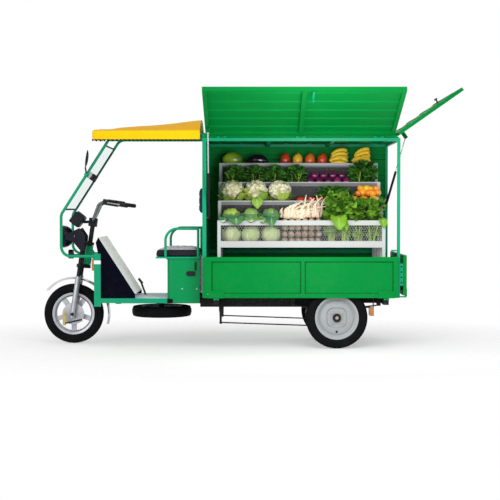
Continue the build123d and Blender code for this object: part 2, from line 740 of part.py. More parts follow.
# Four batteries side by side in the box, and the charging port on its near wall
battery_count = 4
battery_side, battery_gap = 27.0, 6.0
battery_z = (rail_top + wall, rail_top + wall + 215)
battery_x = (seat_box_x[0] + 17, seat_box_x[1] - 17)
battery_span = 2 * (seat_box_half - wall - battery_side)
battery_w = (battery_span - (battery_count - 1) * battery_gap) / battery_count
battery = Box(battery_x[1] - battery_x[0], battery_w, battery_z[1] - battery_z[0])
battery = fillet(battery.edges().filter_by(Axis.Z), 6)
battery_mid = ((battery_x[0] + battery_x[1]) / 2, (battery_z[0] + battery_z[1]) / 2)
terminal = block((-9, 9), (-9, 9), (battery_z[1], battery_z[1] + 14))
nodes["battery_pack"] = []
for i in range(battery_count):
    y = -battery_span / 2 + battery_w / 2 + i * (battery_w + battery_gap)
    nodes["battery_pack"].append(Pos(battery_mid[0], y, battery_mid[1]) * battery)
    nodes["battery_pack"] += [Pos(x, y, 0) * terminal for x in (battery_x[0] + 33, battery_x[1] - 33)]
port_t = 7.0
port_at = (seat_box_x[1] - 68, seat_box_z[1] - 117)
port = extrude(Plane.XZ.offset(seat_box_half) * Pos(*port_at) * SlotOverall(72, 38), port_t)
stem_x = (port_at[0] + 29, port_at[0] + 43)
stem_z = (port_at[1] + 23, port_at[1] + 88)
port_stem = block(stem_x, (-seat_box_half - port_t, -seat_box_half), stem_z) - port
nodes["battery_pack"] += [port, port_stem]

# Seat: base plate with both armrests, cushion on top
base_half = seat_box_half + 14
base_x = (seat_box_x[0] - seat_front_over, seat_box_x[1])
base_plate = block(base_x, (-base_half, base_half), lid_z)
moving_knuckle = block((lid_pin[0] - 5, lid_pin[0] + 5), lid_pin_y[1], (lid_pin[1], lid_z[0]))
moving_knuckle = moving_knuckle + rod(
    (lid_pin[0], lid_pin_y[1][0], lid_pin[1]), (lid_pin[0], lid_pin_y[1][1], lid_pin[1]), hinge_r
)
moving_knuckle = moving_knuckle - rod(
    (lid_pin[0], -300, lid_pin[1]), (lid_pin[0], 0, lid_pin[1]), pin_r + slip
)
arm_y = -base_half + armrest_r
arm_x = (seat_box_x[0] - 12, seat_box_x[1] - armrest_r - 1)
armrest = bent_rod(
    [(arm_x[0], arm_y, lid_z[1]), (arm_x[0], arm_y, armrest_z), (arm_x[1] - armrest_r, arm_y, armrest_z)],
    armrest_bend, armrest_r
)
armrest.append(
    rod((arm_x[1], arm_y, lid_z[1]), (arm_x[1], arm_y, armrest_z + armrest_r), armrest_r) - rod(
        (arm_x[1] - 60, arm_y, armrest_z), (arm_x[1] - armrest_r, arm_y, armrest_z), armrest_r
    )
)
nodes["seat_base"] = [base_plate] + both_sides([moving_knuckle] + armrest)


def bulged(low, high, height, crown, draw):
    # Padding profile: flat base, sides drawn in at the seams, crowned top
    mid = height / 2
    return make_face([
        Line((low + draw, 0), (high - draw, 0)),
        ThreePointArc((high - draw, 0), (high, mid), (high - draw, height)),
        ThreePointArc((high - draw, height), ((low + high) / 2, height + crown), (low + draw, height)),
        ThreePointArc((low + draw, height), (low, mid), (low + draw, 0)),
    ])


cushion_half = -arm_y - armrest_r - 2
cushion_x = (base_x[0] - 6, base_x[1] - 2)
along = Pos(0, 0, lid_z[1]) * extrude(
    Plane.XZ * bulged(*cushion_x, cushion_h, cushion_crown, 7), cushion_half, both=True
)
across = Plane(origin=(cushion_x[0] - 5, 0, lid_z[1]), x_dir=(0, 1, 0), z_dir=(1, 0, 0)) * bulged(
    -cushion_half, cushion_half, cushion_h, cushion_crown, 7)
nodes["seat_cushion"] = [along & extrude(across, cushion_x[1] - cushion_x[0] + 10)]
pad_mid = (backrest_z[0] + backrest_z[1]) / 2
pad_half = (backrest_z[1] - backrest_z[0]) / 2
pad_up = Plane(origin=(box_x[0], 0, pad_mid), x_dir=(0, 0, 1), z_dir=(0, -1, 0))
pad_side = Plane(origin=(box_x[0], 0, pad_mid), x_dir=(0, 1, 0), z_dir=(0, 0, 1))
pad_t, pad_crown = backrest_t - 8, 8
pad_tall = extrude(pad_up * bulged(-pad_half, pad_half, pad_t, pad_crown, 5), backrest_half, both=True)
pad_wide = extrude(
    pad_side * bulged(-backrest_half, backrest_half, pad_t, pad_crown, 5), pad_half, both=True
)
nodes["backrest_pad"] = [pad_tall & pad_wide]


# Chassis: two long rails with cross members, bed bearers and hinge outriggers
rail_in, rail_out = rail_y - rail_w / 2, rail_y + rail_w / 2
bed_half = box_half - 6
frame_y = (-rail_out, -rail_in)
rails = [
    block((floor_front_x + rail_w, rail_x[0]), frame_y, (rail_top - front_rail_h, rail_top)),
    block((rail_x[0], rail_x[1]), frame_y, rail_z),
    block((rail_x[1], rail_x[2]), frame_y, (rail_tail_z, rail_z[1])),
]
cross_z = (rail_z[1] - 50, rail_z[1] - 10)
crossings = [block((x, x + rail_w), (-rail_in, rail_in), cross_z) for x in (-380.0, 40.0, 420.0, 960.0)]
front_sill = box_x[0] + post_x
rear_sill = box_x[1] - rear_post_x
bearer_x = (front_sill, 0.0, 330.0, 970.0, rear_sill - bearer_w)
bearers = [block((x, x + bearer_w), (-bed_half, bed_half), bearer_z) for x in bearer_x]
arch_bearer = block(
    (rear_axle_x - bearer_w / 2, rear_axle_x + bearer_w / 2), (-rail_out, rail_out), bearer_z
)
risers = [
    block((x, x + bearer_w), frame_y, (rail_z[1], bearer_z[0]))
    for x in bearer_x[:4] + (rear_axle_x - bearer_w / 2,)
]
hanger_x = (bearer_x[0] + 55, rear_axle_x + spring_half + spring_eye_r + 8)
board_pin = (-box_half - board_t + 8, board_z[0] - hinge_r - 3)
outriggers = [block((x, x + bearer_w), (-bed_half, -rail_out), (rail_tail_z, rail_z[1])) for x in hanger_x]
nodes["chassis_frame"] = crossings + bearers + [arch_bearer] + both_sides(rails + risers + outriggers)
bed_top = bearer_z[1] + bed_t
bed = block((front_sill, rear_sill), (-bed_half, bed_half), (bearer_z[1], bed_top))

# Rear axle: tube, spindles, differential, motor, brake plates and spring seats
plate_out = half_track - drum_y[1] - 3
axle_tube = rod((rear_axle_x, -plate_out, axle_z), (rear_axle_x, plate_out, axle_z), axle_r)
spindle = rod((rear_axle_x, -half_track + 26, axle_z), (rear_axle_x, -plate_out, axle_z), spindle_r)
case_y, case_r = (30.0, 140.0), 92.0
case = fillet(rod((rear_axle_x, case_y[0], axle_z), (rear_axle_x, case_y[1], axle_z), case_r).edges(), 14)
motor_r = 74.0
motor_x = rear_axle_x - case_r - motor_r + 22
motor = rod((motor_x, case_y[0] - 190, axle_z + 6), (motor_x, case_y[0], axle_z + 6), motor_r)
gear_case = block(
    (motor_x, rear_axle_x), (case_y[0] + air, case_y[1] - 40), (axle_z - 60, axle_z + 66)
) - case
gear_case = gear_case.solids().sort_by(Axis.X)[0]
back_plate = rod(
    (rear_axle_x, -plate_out, axle_z), (rear_axle_x, -plate_out + 5, axle_z), drum_r + 3
) - axle_tube
seat_top = axle_z + axle_r + 8
leaf_count = 4
leaf_step = leaf_t + air
stack_top = seat_top + leaf_count * leaf_step
spring_seat = block(
    (rear_axle_x - 40, rear_axle_x + 40), (-spring_y - 34, -spring_y + 34), (axle_z + 10, seat_top)
) - axle_tube
leaf_mid = stack_top - leaf_t
eye_drop = spring_eye_z - spring_eye_r - leaf_mid
leaf_r = (spring_half ** 2 + eye_drop ** 2) / (2 * eye_drop)
clamp_foot = stack_top + 40 ** 2 / (2 * leaf_r) + 0.1
clamp_plate = block(
    (rear_axle_x - 40, rear_axle_x + 40), (-spring_y - 34, -spring_y + 34), (clamp_foot, clamp_foot + 8)
)
u_bolts = [
    rod((rear_axle_x + dx, -spring_y + dy, seat_top), (rear_axle_x + dx, -spring_y + dy, clamp_foot), 5)
    for dx in (-32, 32)
    for dy in (-28, 28)
]
brake_lever = plate(Plane.XZ.offset(plate_out - 5 - 4), [(640, 150), (640, 178), (452, 176), (452, 160)], 8)
nodes["rear_axle"] = [axle_tube - case, case, motor, gear_case] + both_sides(
    [spindle, back_plate, spring_seat, clamp_plate, brake_lever] + u_bolts)

# Leaf springs: four leaves of one curvature, eyes rolled on the longest
leaf_centre = leaf_mid + leaf_r


def leaf(index, half):
    inner = leaf_r - leaf_t + index * leaf_step
    outer = inner + leaf_t
    turn = half / leaf_r
    spots = [[(r * sin(a), -r * cos(a)) for a in (-turn, 0, turn)] for r in (inner, outer)]
    face = make_face([
        ThreePointArc(*spots[0]),
        Line(spots[0][2], spots[1][2]),
        ThreePointArc(*reversed(spots[1])),
        Line(spots[1][0], spots[0][0]),
    ])
    return Pos(rear_axle_x, -spring_y, leaf_centre) * extrude(Plane.XZ * face, spring_w / 2, both=True)


leaves = [leaf(i, spring_half * (1 - 0.2 * i)) for i in range(leaf_count)]
eyes = [
    Pos(rear_axle_x + side * spring_half, -spring_y, spring_eye_z) * rod(
        (0, -spring_w / 2, 0), (0, spring_w / 2, 0), spring_eye_r
    )
    for side in (-1, 1)
]
eye_pins = [
    Pos(rear_axle_x + side * spring_half, 0, spring_eye_z) * rod((0, -spring_y - 30, 0), (0, -rail_out, 0), 8)
    for side in (-1, 1)
]
main_leaf = leaves[0] + eyes[0] + eyes[1]
for pin in eye_pins:
    main_leaf = main_leaf - pin
nodes["leaf_springs"] = both_sides([main_leaf] + leaves[1:])
hanger_tops = [
    block(
        (rear_axle_x + side * spring_half - 14, rear_axle_x + side * spring_half + 14),
        (-spring_y - 32, -spring_y - spring_w / 2 - 2), (spring_eye_z - 16, rail_z[1])
    )
    for side in (-1, 1)
]
hanger_bridges = [
    block(
        (rear_axle_x + side * spring_half - 14, rear_axle_x + side * spring_half + 14),
        (-spring_y - spring_w / 2 - 2, -rail_out), (spring_eye_z + spring_eye_r + 4, rail_z[1])
    )
    for side in (-1, 1)
]
hanger_tops = [h - p for h, p in zip(hanger_tops, eye_pins)]
nodes["chassis_frame"] += both_sides(eye_pins + hanger_tops + hanger_bridges)

# Spare tyre hung flat under the footwell on a centre bolt and clamp plate
spare_place = Pos(spare_x, 0, spare_z + tyre_w / 2) * Rot(90, 0, 0)
spare_disc = rod((0, -3, 0), (0, 3, 0), bead_r - 13)
bolt_r = 8.0
spare_rim = rim_barrel() + spare_disc - rod((0, -9, 0), (0, 9, 0), bolt_r)
nodes["spare_tyre"] = [spare_place * tyre(), spare_place * spare_rim]
spare_mid = spare_z + tyre_w / 2
carrier_z = (link_z + 12, rail_top - 6)
carrier = block((spare_x - 25, spare_x + 25), (-rail_in, rail_in), carrier_z)
spacer = pipe((spare_x, 0, spare_mid + 3), (spare_x, 0, carrier_z[0]), 2.5 * bolt_r, bolt_r)
clamp_bolt = rod((spare_x, 0, spare_mid - 30), (spare_x, 0, carrier_z[0]), bolt_r)
clamp_nut = pipe((spare_x, 0, spare_mid - 17), (spare_x, 0, spare_mid - 3), 2 * bolt_r, bolt_r)
nodes["chassis_frame"] += [carrier, spacer, clamp_bolt, clamp_nut]

# Foot brake: pedal, push link, cross shaft with its arms, and a pull rod to each rear brake
arm_t = 12.0
link_y = pedal_y + arm_t / 2 + 6 + air
pivot = rod(
    (pedal_pivot[0], pedal_y - 20, pedal_pivot[1]), (pedal_pivot[0], pedal_y + 20, pedal_pivot[1]), 6
)
pivot_ears = [
    block((pedal_pivot[0] - 12, pedal_pivot[0] + 12), y, (pedal_pivot[1] - 12, rail_top)) - pivot
    for y in ((pedal_y - 16, pedal_y - arm_t / 2 - air), (pedal_y + arm_t / 2 + air, pedal_y + 16))
]
nodes["chassis_frame"] += [pivot] + pivot_ears
pedal_arm = rod(
    (pedal_pivot[0], pedal_y - arm_t / 2, pedal_pivot[1]),
    (pedal_pivot[0], pedal_y + arm_t / 2, pedal_pivot[1]), 13
)
upper = [
    (pedal_pivot[0] - 8, pedal_pivot[1]), (pedal_pivot[0] + 8, pedal_pivot[1]),
    (pedal_pad[0] + 8, pedal_pad[1]), (pedal_pad[0] - 6, pedal_pad[1])
]
lower = [
    (pedal_pivot[0] - 8, pedal_pivot[1]), (pedal_pivot[0] + 8, pedal_pivot[1]),
    (pedal_pivot[0] + 6, link_z - 8), (pedal_pivot[0] - 6, link_z - 8)
]
pedal_arm = pedal_arm + plate(Plane.XZ.offset(-pedal_y), upper, arm_t) + plate(
    Plane.XZ.offset(-pedal_y), lower, arm_t
)
pedal_arm = pedal_arm - rod(
    (pedal_pivot[0], 0, pedal_pivot[1]), (pedal_pivot[0], 300, pedal_pivot[1]), 6 + slip
)
pedal_pin = rod((pedal_pivot[0], pedal_y + arm_t / 2, link_z), (pedal_pivot[0], link_y + 8, link_z), pin_r)
pad = Pos(pedal_pad[0], pedal_y, pedal_pad[1]) * Rot(0, 52, 0) * fillet(
    Box(52, 60, 14).edges().filter_by(Axis.Z), 8
)
nodes["brake_pedal"] = [pedal_arm + pad, pedal_pin]
link_bore = pin_r + 1.0
link = rod((pedal_pivot[0] + 8, link_y, link_z), (relay_at[0] - 8, link_y, link_z), 5)
for x in (pedal_pivot[0], relay_at[0]):
    link = link + rod((x, link_y - 6, link_z), (x, link_y + 6, link_z), 10)
for x in (pedal_pivot[0], relay_at[0]):
    link = link - rod((x, link_y - 9, link_z), (x, link_y + 9, link_z), link_bore)
nodes["brake_link"] = [link]
relay_r = 9.0
relay_shaft = rod(
    (relay_at[0], -relay_y - 6, relay_at[1]), (relay_at[0], relay_y + 6, relay_at[1]), relay_r
)
relay_end_z = relay_at[1] - relay_drop
relay_up = [
    (relay_at[0] - 9, relay_at[1]), (relay_at[0] + 9, relay_at[1]), (relay_at[0] + 7, link_z + 8),
    (relay_at[0] - 7, link_z + 8)
]
relay_down = [(relay_at[0] - 11, relay_at[1] + 14), (relay_at[0] + 11, relay_at[1] + 14),
              (relay_at[0] + 8, relay_end_z - 9), (relay_at[0] - 8, relay_end_z - 9)]
relay = relay_shaft + plate(Plane.XZ.offset(-pedal_y), relay_up, arm_t)
rod_y = relay_y - 5 - 6 - air
for side in (-1, 1):
    relay = relay + plate(Plane.XZ.offset(side * relay_y), relay_down, 10)
    relay = relay + rod(
        (relay_at[0], -side * relay_y, relay_end_z), (relay_at[0], -side * (rod_y - 8), relay_end_z),
        pin_r
    )
relay = relay + rod((relay_at[0], pedal_y, link_z), (relay_at[0], link_y + 8, link_z), pin_r)
nodes["brake_relay"] = [relay]
relay_mounts = [
    block(
        (relay_at[0] - 16, relay_at[0] + 16), (-rail_out + 5, -rail_in - 5), (relay_at[1] - 16, rail_z[0])
    ) - rod((relay_at[0], -400, relay_at[1]), (relay_at[0], 0, relay_at[1]), relay_r + slip)
]
nodes["chassis_frame"] += both_sides(relay_mounts)
brake_pin = rod((456, -plate_out + 9, 168), (456, -rod_y + 6, 168), 5)
nodes["rear_axle"] += both_sides([brake_pin])
rod_end = (448.0, -rod_y, 168.0)
pull = rod((relay_at[0] + 8, -rod_y, relay_end_z), rod_end, 5)
pull = pull + rod((relay_at[0], -rod_y - 6, relay_end_z), (relay_at[0], -rod_y + 6, relay_end_z), 11)
pull = pull - rod(
    (relay_at[0], -rod_y - 9, relay_end_z), (relay_at[0], -rod_y + 9, relay_end_z), pin_r + 1.6
)
nodes["brake_rods"] = both_sides([pull])


# Stall box: posts, roof rails and the fixed sheets
post_in = box_half - post_y
near_post = (-box_half, -post_in)
rail_low = roof_z - roof_rail_h
bow_top = roof_z - skin_t
lift = hoop_top_z + 15
front_post = block((box_x[0], front_sill), near_post, (board_z[0], roof_z))
rear_post = block((rear_sill, box_x[1]), near_post, (board_z[0], roof_z))
side_rail = block((front_sill, rear_sill), near_post, (rail_low, roof_z))
head_rail = block((box_x[0], front_sill), (-post_in, post_in), (rail_low, lift))
tail_rail = block((rear_sill, box_x[1]), (-post_in, post_in), (rail_low, roof_z))
roof_bows = [block((x, x + 30), (-post_in, post_in), (rail_low, bow_top)) for x in (130.0, 620.0)]
belt_z = (board_z[1], board_z[1] + 30)
belt = block((front_sill, rear_sill), (post_in, box_half), belt_z)
nodes["box_frame"] = [head_rail, tail_rail, belt] + roof_bows + both_sides(
    [front_post, rear_post, side_rail]
)


def ribbed(length, count, width, height):
    # Pressed sheet profile: flat, with evenly spaced raised ribs
    pitch = length / count
    top = [(0, 0)]
    for i in range(count):
        low, high = (i + 0.5) * pitch - width / 2, (i + 0.5) * pitch + width / 2
        top += [(low, 0), (low + abs(height), height), (high - abs(height), height), (high, 0)]
    top += [(length, 0)]
    return make_face(Polyline(*top, *[(x, y + skin_t) for x, y in reversed(top)], close=True))


rib_w = 46.0
roof_run = rear_sill - front_sill
roof_plane = Plane(origin=(front_sill, post_in, bow_top), x_dir=(1, 0, 0), z_dir=(0, -1, 0))
roof_sheet = extrude(roof_plane * ribbed(roof_run, 8, rib_w, rib_h), 2 * post_in)
far_plane = Plane(origin=(front_sill, post_in + 20, belt_z[1]), x_dir=(0, 0, 1), z_dir=(1, 0, 0))
far_sheet = extrude(far_plane * ribbed(rail_low - belt_z[1], 5, rib_w, -rib_h), roof_run)
front_sheet = block((box_x[0], box_x[0] + skin_t), (-post_in, post_in), (board_z[0], rail_low))
nodes["box_panels"] = [roof_sheet, far_sheet, front_sheet]

# Side door, drawn shut and then swung up about its hinge
door_axis = (-post_in - 32.0, roof_z + hinge_r + air)
door_in = -box_half
door_out = door_in - door_t
door_top, door_low = door_axis[1] - door_d[0], door_axis[1] - door_d[1]
door_mid_x = 383.0
door_place = Pos(0, *door_axis) * Rot(-door_rest_deg, 0, 0) * Pos(0, -door_axis[0], -door_axis[1])
door_y = (door_out, door_in)
stile_x = [
    (door_x[0], door_x[0] + door_rail), (door_mid_x - 17, door_mid_x + 17),
    (door_x[1] - door_rail, door_x[1])
]
stiles = [block(x, door_y, (door_low + door_rail, door_top - door_rail)) for x in stile_x]
end_rails = [
    block(door_x, door_y, z) for z in ((door_low, door_low + door_rail), (door_top - door_rail, door_top))
]
bays = [(stile_x[0][1], stile_x[1][0]), (stile_x[1][1], stile_x[2][0])]
bay_run = door_top - door_low - 2 * door_rail
skins = []
for low, high in bays:
    bay = Plane(origin=(low, door_out + 1, door_top - door_rail), x_dir=(0, 0, -1), z_dir=(1, 0, 0))
    skins.append(extrude(bay * ribbed(bay_run, 5, rib_w, rib_h), high - low))
hinge_at = (door_x[0] + 120, door_mid_x, door_x[1] - 120)
hinge_w = 36.0
fixed_hinges, door_hinges = [], []
for x in hinge_at:
    pin = rod((x - hinge_w, *door_axis), (x + hinge_w, *door_axis), pin_r)
    for low, high in ((x - hinge_w, x - hinge_w / 2 - air), (x + hinge_w / 2 + air, x + hinge_w)):
        barrel = rod((low, *door_axis), (high, *door_axis), hinge_r) + block(
            (low, high), (door_axis[0], door_axis[0] + 26), (roof_z, roof_z + 3)
        )
        fixed_hinges.append(barrel - pin)
    fixed_hinges.append(pin)
    span = (x - hinge_w / 2, x + hinge_w / 2)
    tongue = rod((span[0], *door_axis), (span[1], *door_axis), hinge_r) + block(
        span, (door_in - 10, door_axis[0]), (door_axis[1] - 3, door_axis[1] + 3)
    )
    tongue = tongue + block(span, (door_in - 10, door_in - 4), (door_top, door_axis[1] + 3))
    door_hinges.append(tongue - rod((x - 60, *door_axis), (x + 60, *door_axis), pin_r + slip))
door_strut_x = door_x[0] + 23
stay_at = (door_in + door_standoff, door_axis[1] - door_strut_at)
stay_x = (door_strut_x + strut_tube_r + 0.5, door_strut_x + strut_tube_r + 4.5)
stay_plate = block(stay_x, (door_out + 1 + skin_t, stay_at[0] + 10), (stay_at[1] - 16, stay_at[1] + 16))
latch_boss_t = 10.0
clip = block(
    (door_mid_x - 16, door_mid_x + 16), (door_in, door_in + latch_boss_t - 2),
    (door_low + 4, door_low + 22)
)
latch_axis = (door_mid_x + 62, door_low + 14)
latch_foot = door_in + latch_boss_t
latch_boss = rod((latch_axis[0], door_in, latch_axis[1]), (latch_axis[0], latch_foot, latch_axis[1]), 9)
nodes["side_door"] = [
    door_place * s for s in end_rails + stiles + skins + door_hinges + [stay_plate, clip, latch_boss]
]
latch_y = (latch_foot + air, latch_foot + 8)
latch_bar = block((latch_axis[0] - 8, latch_axis[0] + 8), latch_y, (latch_axis[1] - 14, latch_axis[1] + 92))
knob_z = latch_axis[1] + 80
latch_knob = rod((latch_axis[0], latch_y[1], knob_z), (latch_axis[0], latch_y[1] + 26, knob_z), 8)
nodes["door_latch"] = [door_place * (latch_bar + latch_knob)]

# Rear flap, drawn shut and then swung up
flap_axis = (box_x[1] - 8.0, roof_z + hinge_r + air)
flap_in = box_x[1] + 2
flap_x = (flap_in, flap_in + flap_t)
flap_half = box_half - 2
flap_top, flap_low = flap_axis[1] - flap_d[0], flap_axis[1] - flap_d[1]
flap_place = Pos(flap_axis[0], 0, flap_axis[1]) * Rot(0, -flap_rest_deg, 0) * Pos(
    -flap_axis[0], 0, -flap_axis[1]
)
flap_stiles = [block(flap_x, y, (flap_low + door_rail, flap_top - door_rail))
               for y in ((-flap_half, -flap_half + door_rail), (flap_half - door_rail, flap_half))]
flap_rails = [
    block(flap_x, (-flap_half, flap_half), z)
    for z in ((flap_low, flap_low + door_rail), (flap_top - door_rail, flap_top))
]
flap_run = flap_top - flap_low - 2 * door_rail
flap_bay = Plane(
    origin=(flap_x[1] - 3.5, flap_half - door_rail, flap_top - door_rail), x_dir=(0, 0, -1),
    z_dir=(0, -1, 0)
)
flap_skin = extrude(flap_bay * ribbed(flap_run, 4, rib_w, rib_h), 2 * (flap_half - door_rail))
flap_hinges = []
for y in (-flap_half + 130, flap_half - 130):
    pin = rod((flap_axis[0], y - hinge_w, flap_axis[1]), (flap_axis[0], y + hinge_w, flap_axis[1]), pin_r)
    for low, high in ((y - hinge_w, y - hinge_w / 2 - air), (y + hinge_w / 2 + air, y + hinge_w)):
        barrel = rod((flap_axis[0], low, flap_axis[1]), (flap_axis[0], high, flap_axis[1]), hinge_r)
        barrel = barrel + block((flap_axis[0] - 12, flap_axis[0]), (low, high), (roof_z, roof_z + 3))
        fixed_hinges.append(barrel - pin)
    fixed_hinges.append(pin)
    span = (y - hinge_w / 2, y + hinge_w / 2)
    tongue = rod((flap_axis[0], span[0], flap_axis[1]), (flap_axis[0], span[1], flap_axis[1]), hinge_r)
    tongue = tongue + block((flap_axis[0], flap_in + 10), span, (flap_axis[1] - 3, flap_axis[1] + 3))
    tongue = tongue + block((flap_in + 4, flap_in + 10), span, (flap_top, flap_axis[1] + 3))
    flap_hinges.append(
        tongue - rod((flap_axis[0], y - 60, flap_axis[1]), (flap_axis[0], y + 60, flap_axis[1]), pin_r + slip)
    )
flap_strut_y = post_in - strut_tube_r - 8
flap_stay_at = (flap_in - flap_standoff, flap_axis[1] - flap_strut_at)
flap_stay_y = (flap_strut_y - strut_tube_r - 4.5, flap_strut_y - strut_tube_r - 0.5)
flap_stay = block(
    (flap_stay_at[0] - 10, flap_x[1] - 3.5), flap_stay_y, (flap_stay_at[1] - 16, flap_stay_at[1] + 16)
)
handle_z = flap_low + 0.26 * flap_run
nodes["rear_flap"] = [
    flap_place * s for s in flap_stiles + flap_rails + [flap_skin] + flap_hinges + [flap_stay]
]
boss_foot = flap_x[1] - 3.5 + skin_t
handle_boss = rod((boss_foot, 0, handle_z), (flap_x[1] + 8, 0, handle_z), 14)
grip_stem = rod((flap_x[1] + 8 + air, 0, handle_z), (flap_x[1] + 30, 0, handle_z), 6)
grip_bar = rod((flap_x[1] + 34, -45, handle_z), (flap_x[1] + 34, 45, handle_z), 7)
nodes["rear_flap"] += [flap_place * handle_boss]
nodes["flap_handle"] = [flap_place * (grip_stem + grip_bar)]


# Drop board: a frame with two recessed sheets, hinged along its lower edge
board_y = (-box_half - board_t, -box_half)
board_stiles = [(board_x[0], board_x[0] + 60), (386.0, 414.0), (board_x[1] - 37, board_x[1])]
board_bars = [block(x, board_y, (board_z[0] + board_rail, board_z[1] - board_rail)) for x in board_stiles]
board_bars += [
    block(board_x, board_y, z)
    for z in ((board_z[0], board_z[0] + board_rail), (board_z[1] - board_rail, board_z[1]))
]
recess = 9.0
crease = 5.0
board_sheets = []
face_y = board_y[0] + recess
for left, right in zip(board_stiles, board_stiles[1:]):
    low, high = left[1], right[0]
    sides = [(low, face_y), ((low + high) / 2, face_y - crease), (high, face_y)]
    sheet_face = make_face(Polyline(*sides, *[(x, y + skin_t) for x, y in reversed(sides)], close=True))
    board_sheets.append(
        Pos(0, 0, board_z[0] + board_rail) * extrude(sheet_face, board_z[1] - board_z[0] - 2 * board_rail)
    )
leaf_h = 54.0
knuckle_w = 13.0
board_leaves = []
for x in hanger_x:
    mid = x + bearer_w / 2
    pin = rod((x, *board_pin), (x + bearer_w, *board_pin), pin_r)
    for low, high in ((x, x + knuckle_w), (x + bearer_w - knuckle_w, x + bearer_w)):
        arm = rod((low, *board_pin), (high, *board_pin), hinge_r) + block(
            (low, high), (board_pin[0], -bed_half), (board_pin[1] - 6, board_pin[1] + 3)
        )
        fixed_hinges.append(arm - pin)
    fixed_hinges.append(pin)
    span = (x + knuckle_w + air, x + bearer_w - knuckle_w - air)
    barrel = rod((span[0], *board_pin), (span[1], *board_pin), hinge_r) + block(
        span, (board_y[0] - 3, board_pin[0]), (board_pin[1], board_z[0])
    )
    barrel = barrel + block(
        (mid - 60, mid + 60), (board_y[0] - 3, board_y[0]), (board_pin[1] + 8, board_pin[1] + 8 + leaf_h)
    )
    board_leaves.append(barrel - rod((x - 5, *board_pin), (x + 50, *board_pin), pin_r + slip))
nodes["drop_board"] = board_bars + board_sheets + board_leaves

# Fixed board on the far side, of the same section
nodes["box_panels"] += mirrored(board_bars + board_sheets)

# Tailgate, stood off from the posts on its hinge arms
gate_x = (box_x[1] + tailgate_gap, box_x[1] + tailgate_gap + tailgate_t)
gate_pin = (gate_x[1] - 8, tailgate_z[0] - hinge_r - 3)
gate_rails = [
    block(gate_x, (-box_half, box_half), z)
    for z in ((tailgate_z[0], tailgate_z[0] + board_rail), (tailgate_z[1] - board_rail, tailgate_z[1]))
]
gate_rise = (tailgate_z[0] + board_rail, tailgate_z[1] - board_rail)
gate_stiles = [
    block(gate_x, y, gate_rise)
    for y in ((-box_half, -box_half + 40), (-14, 14), (box_half - 40, box_half))
]
gate_sheets = [
    block((gate_x[1] - 9 - skin_t, gate_x[1] - 9), y, gate_rise)
    for y in ((-box_half + 40, -14), (14, box_half - 40))
]
gate_leaves = []
for side in (-1, 1):
    y = side * (post_in + post_y / 2)
    pin = rod((gate_pin[0], y - 20, gate_pin[1]), (gate_pin[0], y + 20, gate_pin[1]), pin_r)
    for low, high in ((y - 20, y - 20 + knuckle_w), (y + 20 - knuckle_w, y + 20)):
        arm = rod((gate_pin[0], low, gate_pin[1]), (gate_pin[0], high, gate_pin[1]), hinge_r)
        arm = arm + block((box_x[1], gate_pin[0]), (low, high), (gate_pin[1] - 6, gate_pin[1] + 3))
        fixed_hinges.append(arm - pin)
    fixed_hinges.append(pin)
    span = (y - 20 + knuckle_w + air, y + 20 - knuckle_w - air)
    barrel = rod((gate_pin[0], span[0], gate_pin[1]), (gate_pin[0], span[1], gate_pin[1]), hinge_r)
    barrel = barrel + block((gate_pin[0], gate_x[1] + 3), span, (gate_pin[1], tailgate_z[0]))
    barrel = barrel + block(
        (gate_x[1], gate_x[1] + 3), (y - 20, y + 20), (gate_pin[1] + 8, gate_pin[1] + 8 + leaf_h)
    )
    gate_leaves.append(
        barrel - rod((gate_pin[0], y - 30, gate_pin[1]), (gate_pin[0], y + 30, gate_pin[1]), pin_r + slip)
    )
nodes["tailgate"] = gate_rails + gate_stiles + gate_sheets + gate_leaves
striker = block((box_x[1], gate_x[0] - 2), (-box_half + 4, -box_half + 8), (480, 650))
for i in range(4):
    striker = striker - Pos(box_x[1] + 12, -box_half + 6, 505 + i * 40) * Rot(0, -35, 0) * Box(14, 20, 9)
board_catch = block(
    (rear_sill - 48, rear_sill), (-box_half + 6, -box_half + 18), (board_z[1] + 42, board_z[1] + 54)
)
nodes["box_frame"] += fixed_hinges + [striker, board_catch]

# Gas struts: a tube that swings on its lower stud and a rod that slides in it
stud_r = 5.0
eye_r = 10.0
eye_half = 8.0
rod_hidden = 40.0


def gas_strut(foot, head, across, tube_len):
    run = (head - foot).normalized()
    tube = rod(foot, foot + run * tube_len, strut_tube_r) + rod(
        foot - across * eye_half, foot + across * eye_half, eye_r
    )
    tube = tube - rod(foot - across * 20, foot + across * 20, stud_r + slip)
    tube = tube - rod(foot + run * 25, foot + run * (tube_len + 5), strut_rod_r + slip)
    plunger = rod(foot + run * (tube_len - rod_hidden), head, strut_rod_r)
    return tube, plunger + rod(head - across * eye_half, head + across * eye_half, eye_r)


door_foot = Vector(door_strut_x, *door_strut_foot)
door_head = (door_place * Pos(door_strut_x, *stay_at)).position
door_tube_solid, door_rod_solid = gas_strut(door_foot, door_head, Vector(1, 0, 0), door_tube)
nodes["door_strut_tube"] = [door_tube_solid]
nodes["door_strut_rod"] = [door_rod_solid]
door_stud = rod((front_sill, *door_strut_foot), (door_strut_x + eye_half, *door_strut_foot), stud_r)
flap_foot = Vector(flap_strut_foot[0], flap_strut_y, flap_strut_foot[1])
flap_head = (flap_place * Pos(flap_stay_at[0], flap_strut_y, flap_stay_at[1])).position
flap_tube_solid, flap_rod_solid = gas_strut(flap_foot, flap_head, Vector(0, 1, 0), flap_tube)
nodes["flap_strut_tube"] = [flap_tube_solid]
nodes["flap_strut_rod"] = [flap_rod_solid]
lug_y = (post_in - 4, post_in)
stud_lug = block((flap_foot.X - 13, box_x[1]), lug_y, (flap_foot.Z - 20, flap_foot.Z + 20))
flap_stud = rod(
    (flap_foot.X, lug_y[0], flap_foot.Z), (flap_foot.X, flap_strut_y - eye_half, flap_foot.Z), stud_r
)
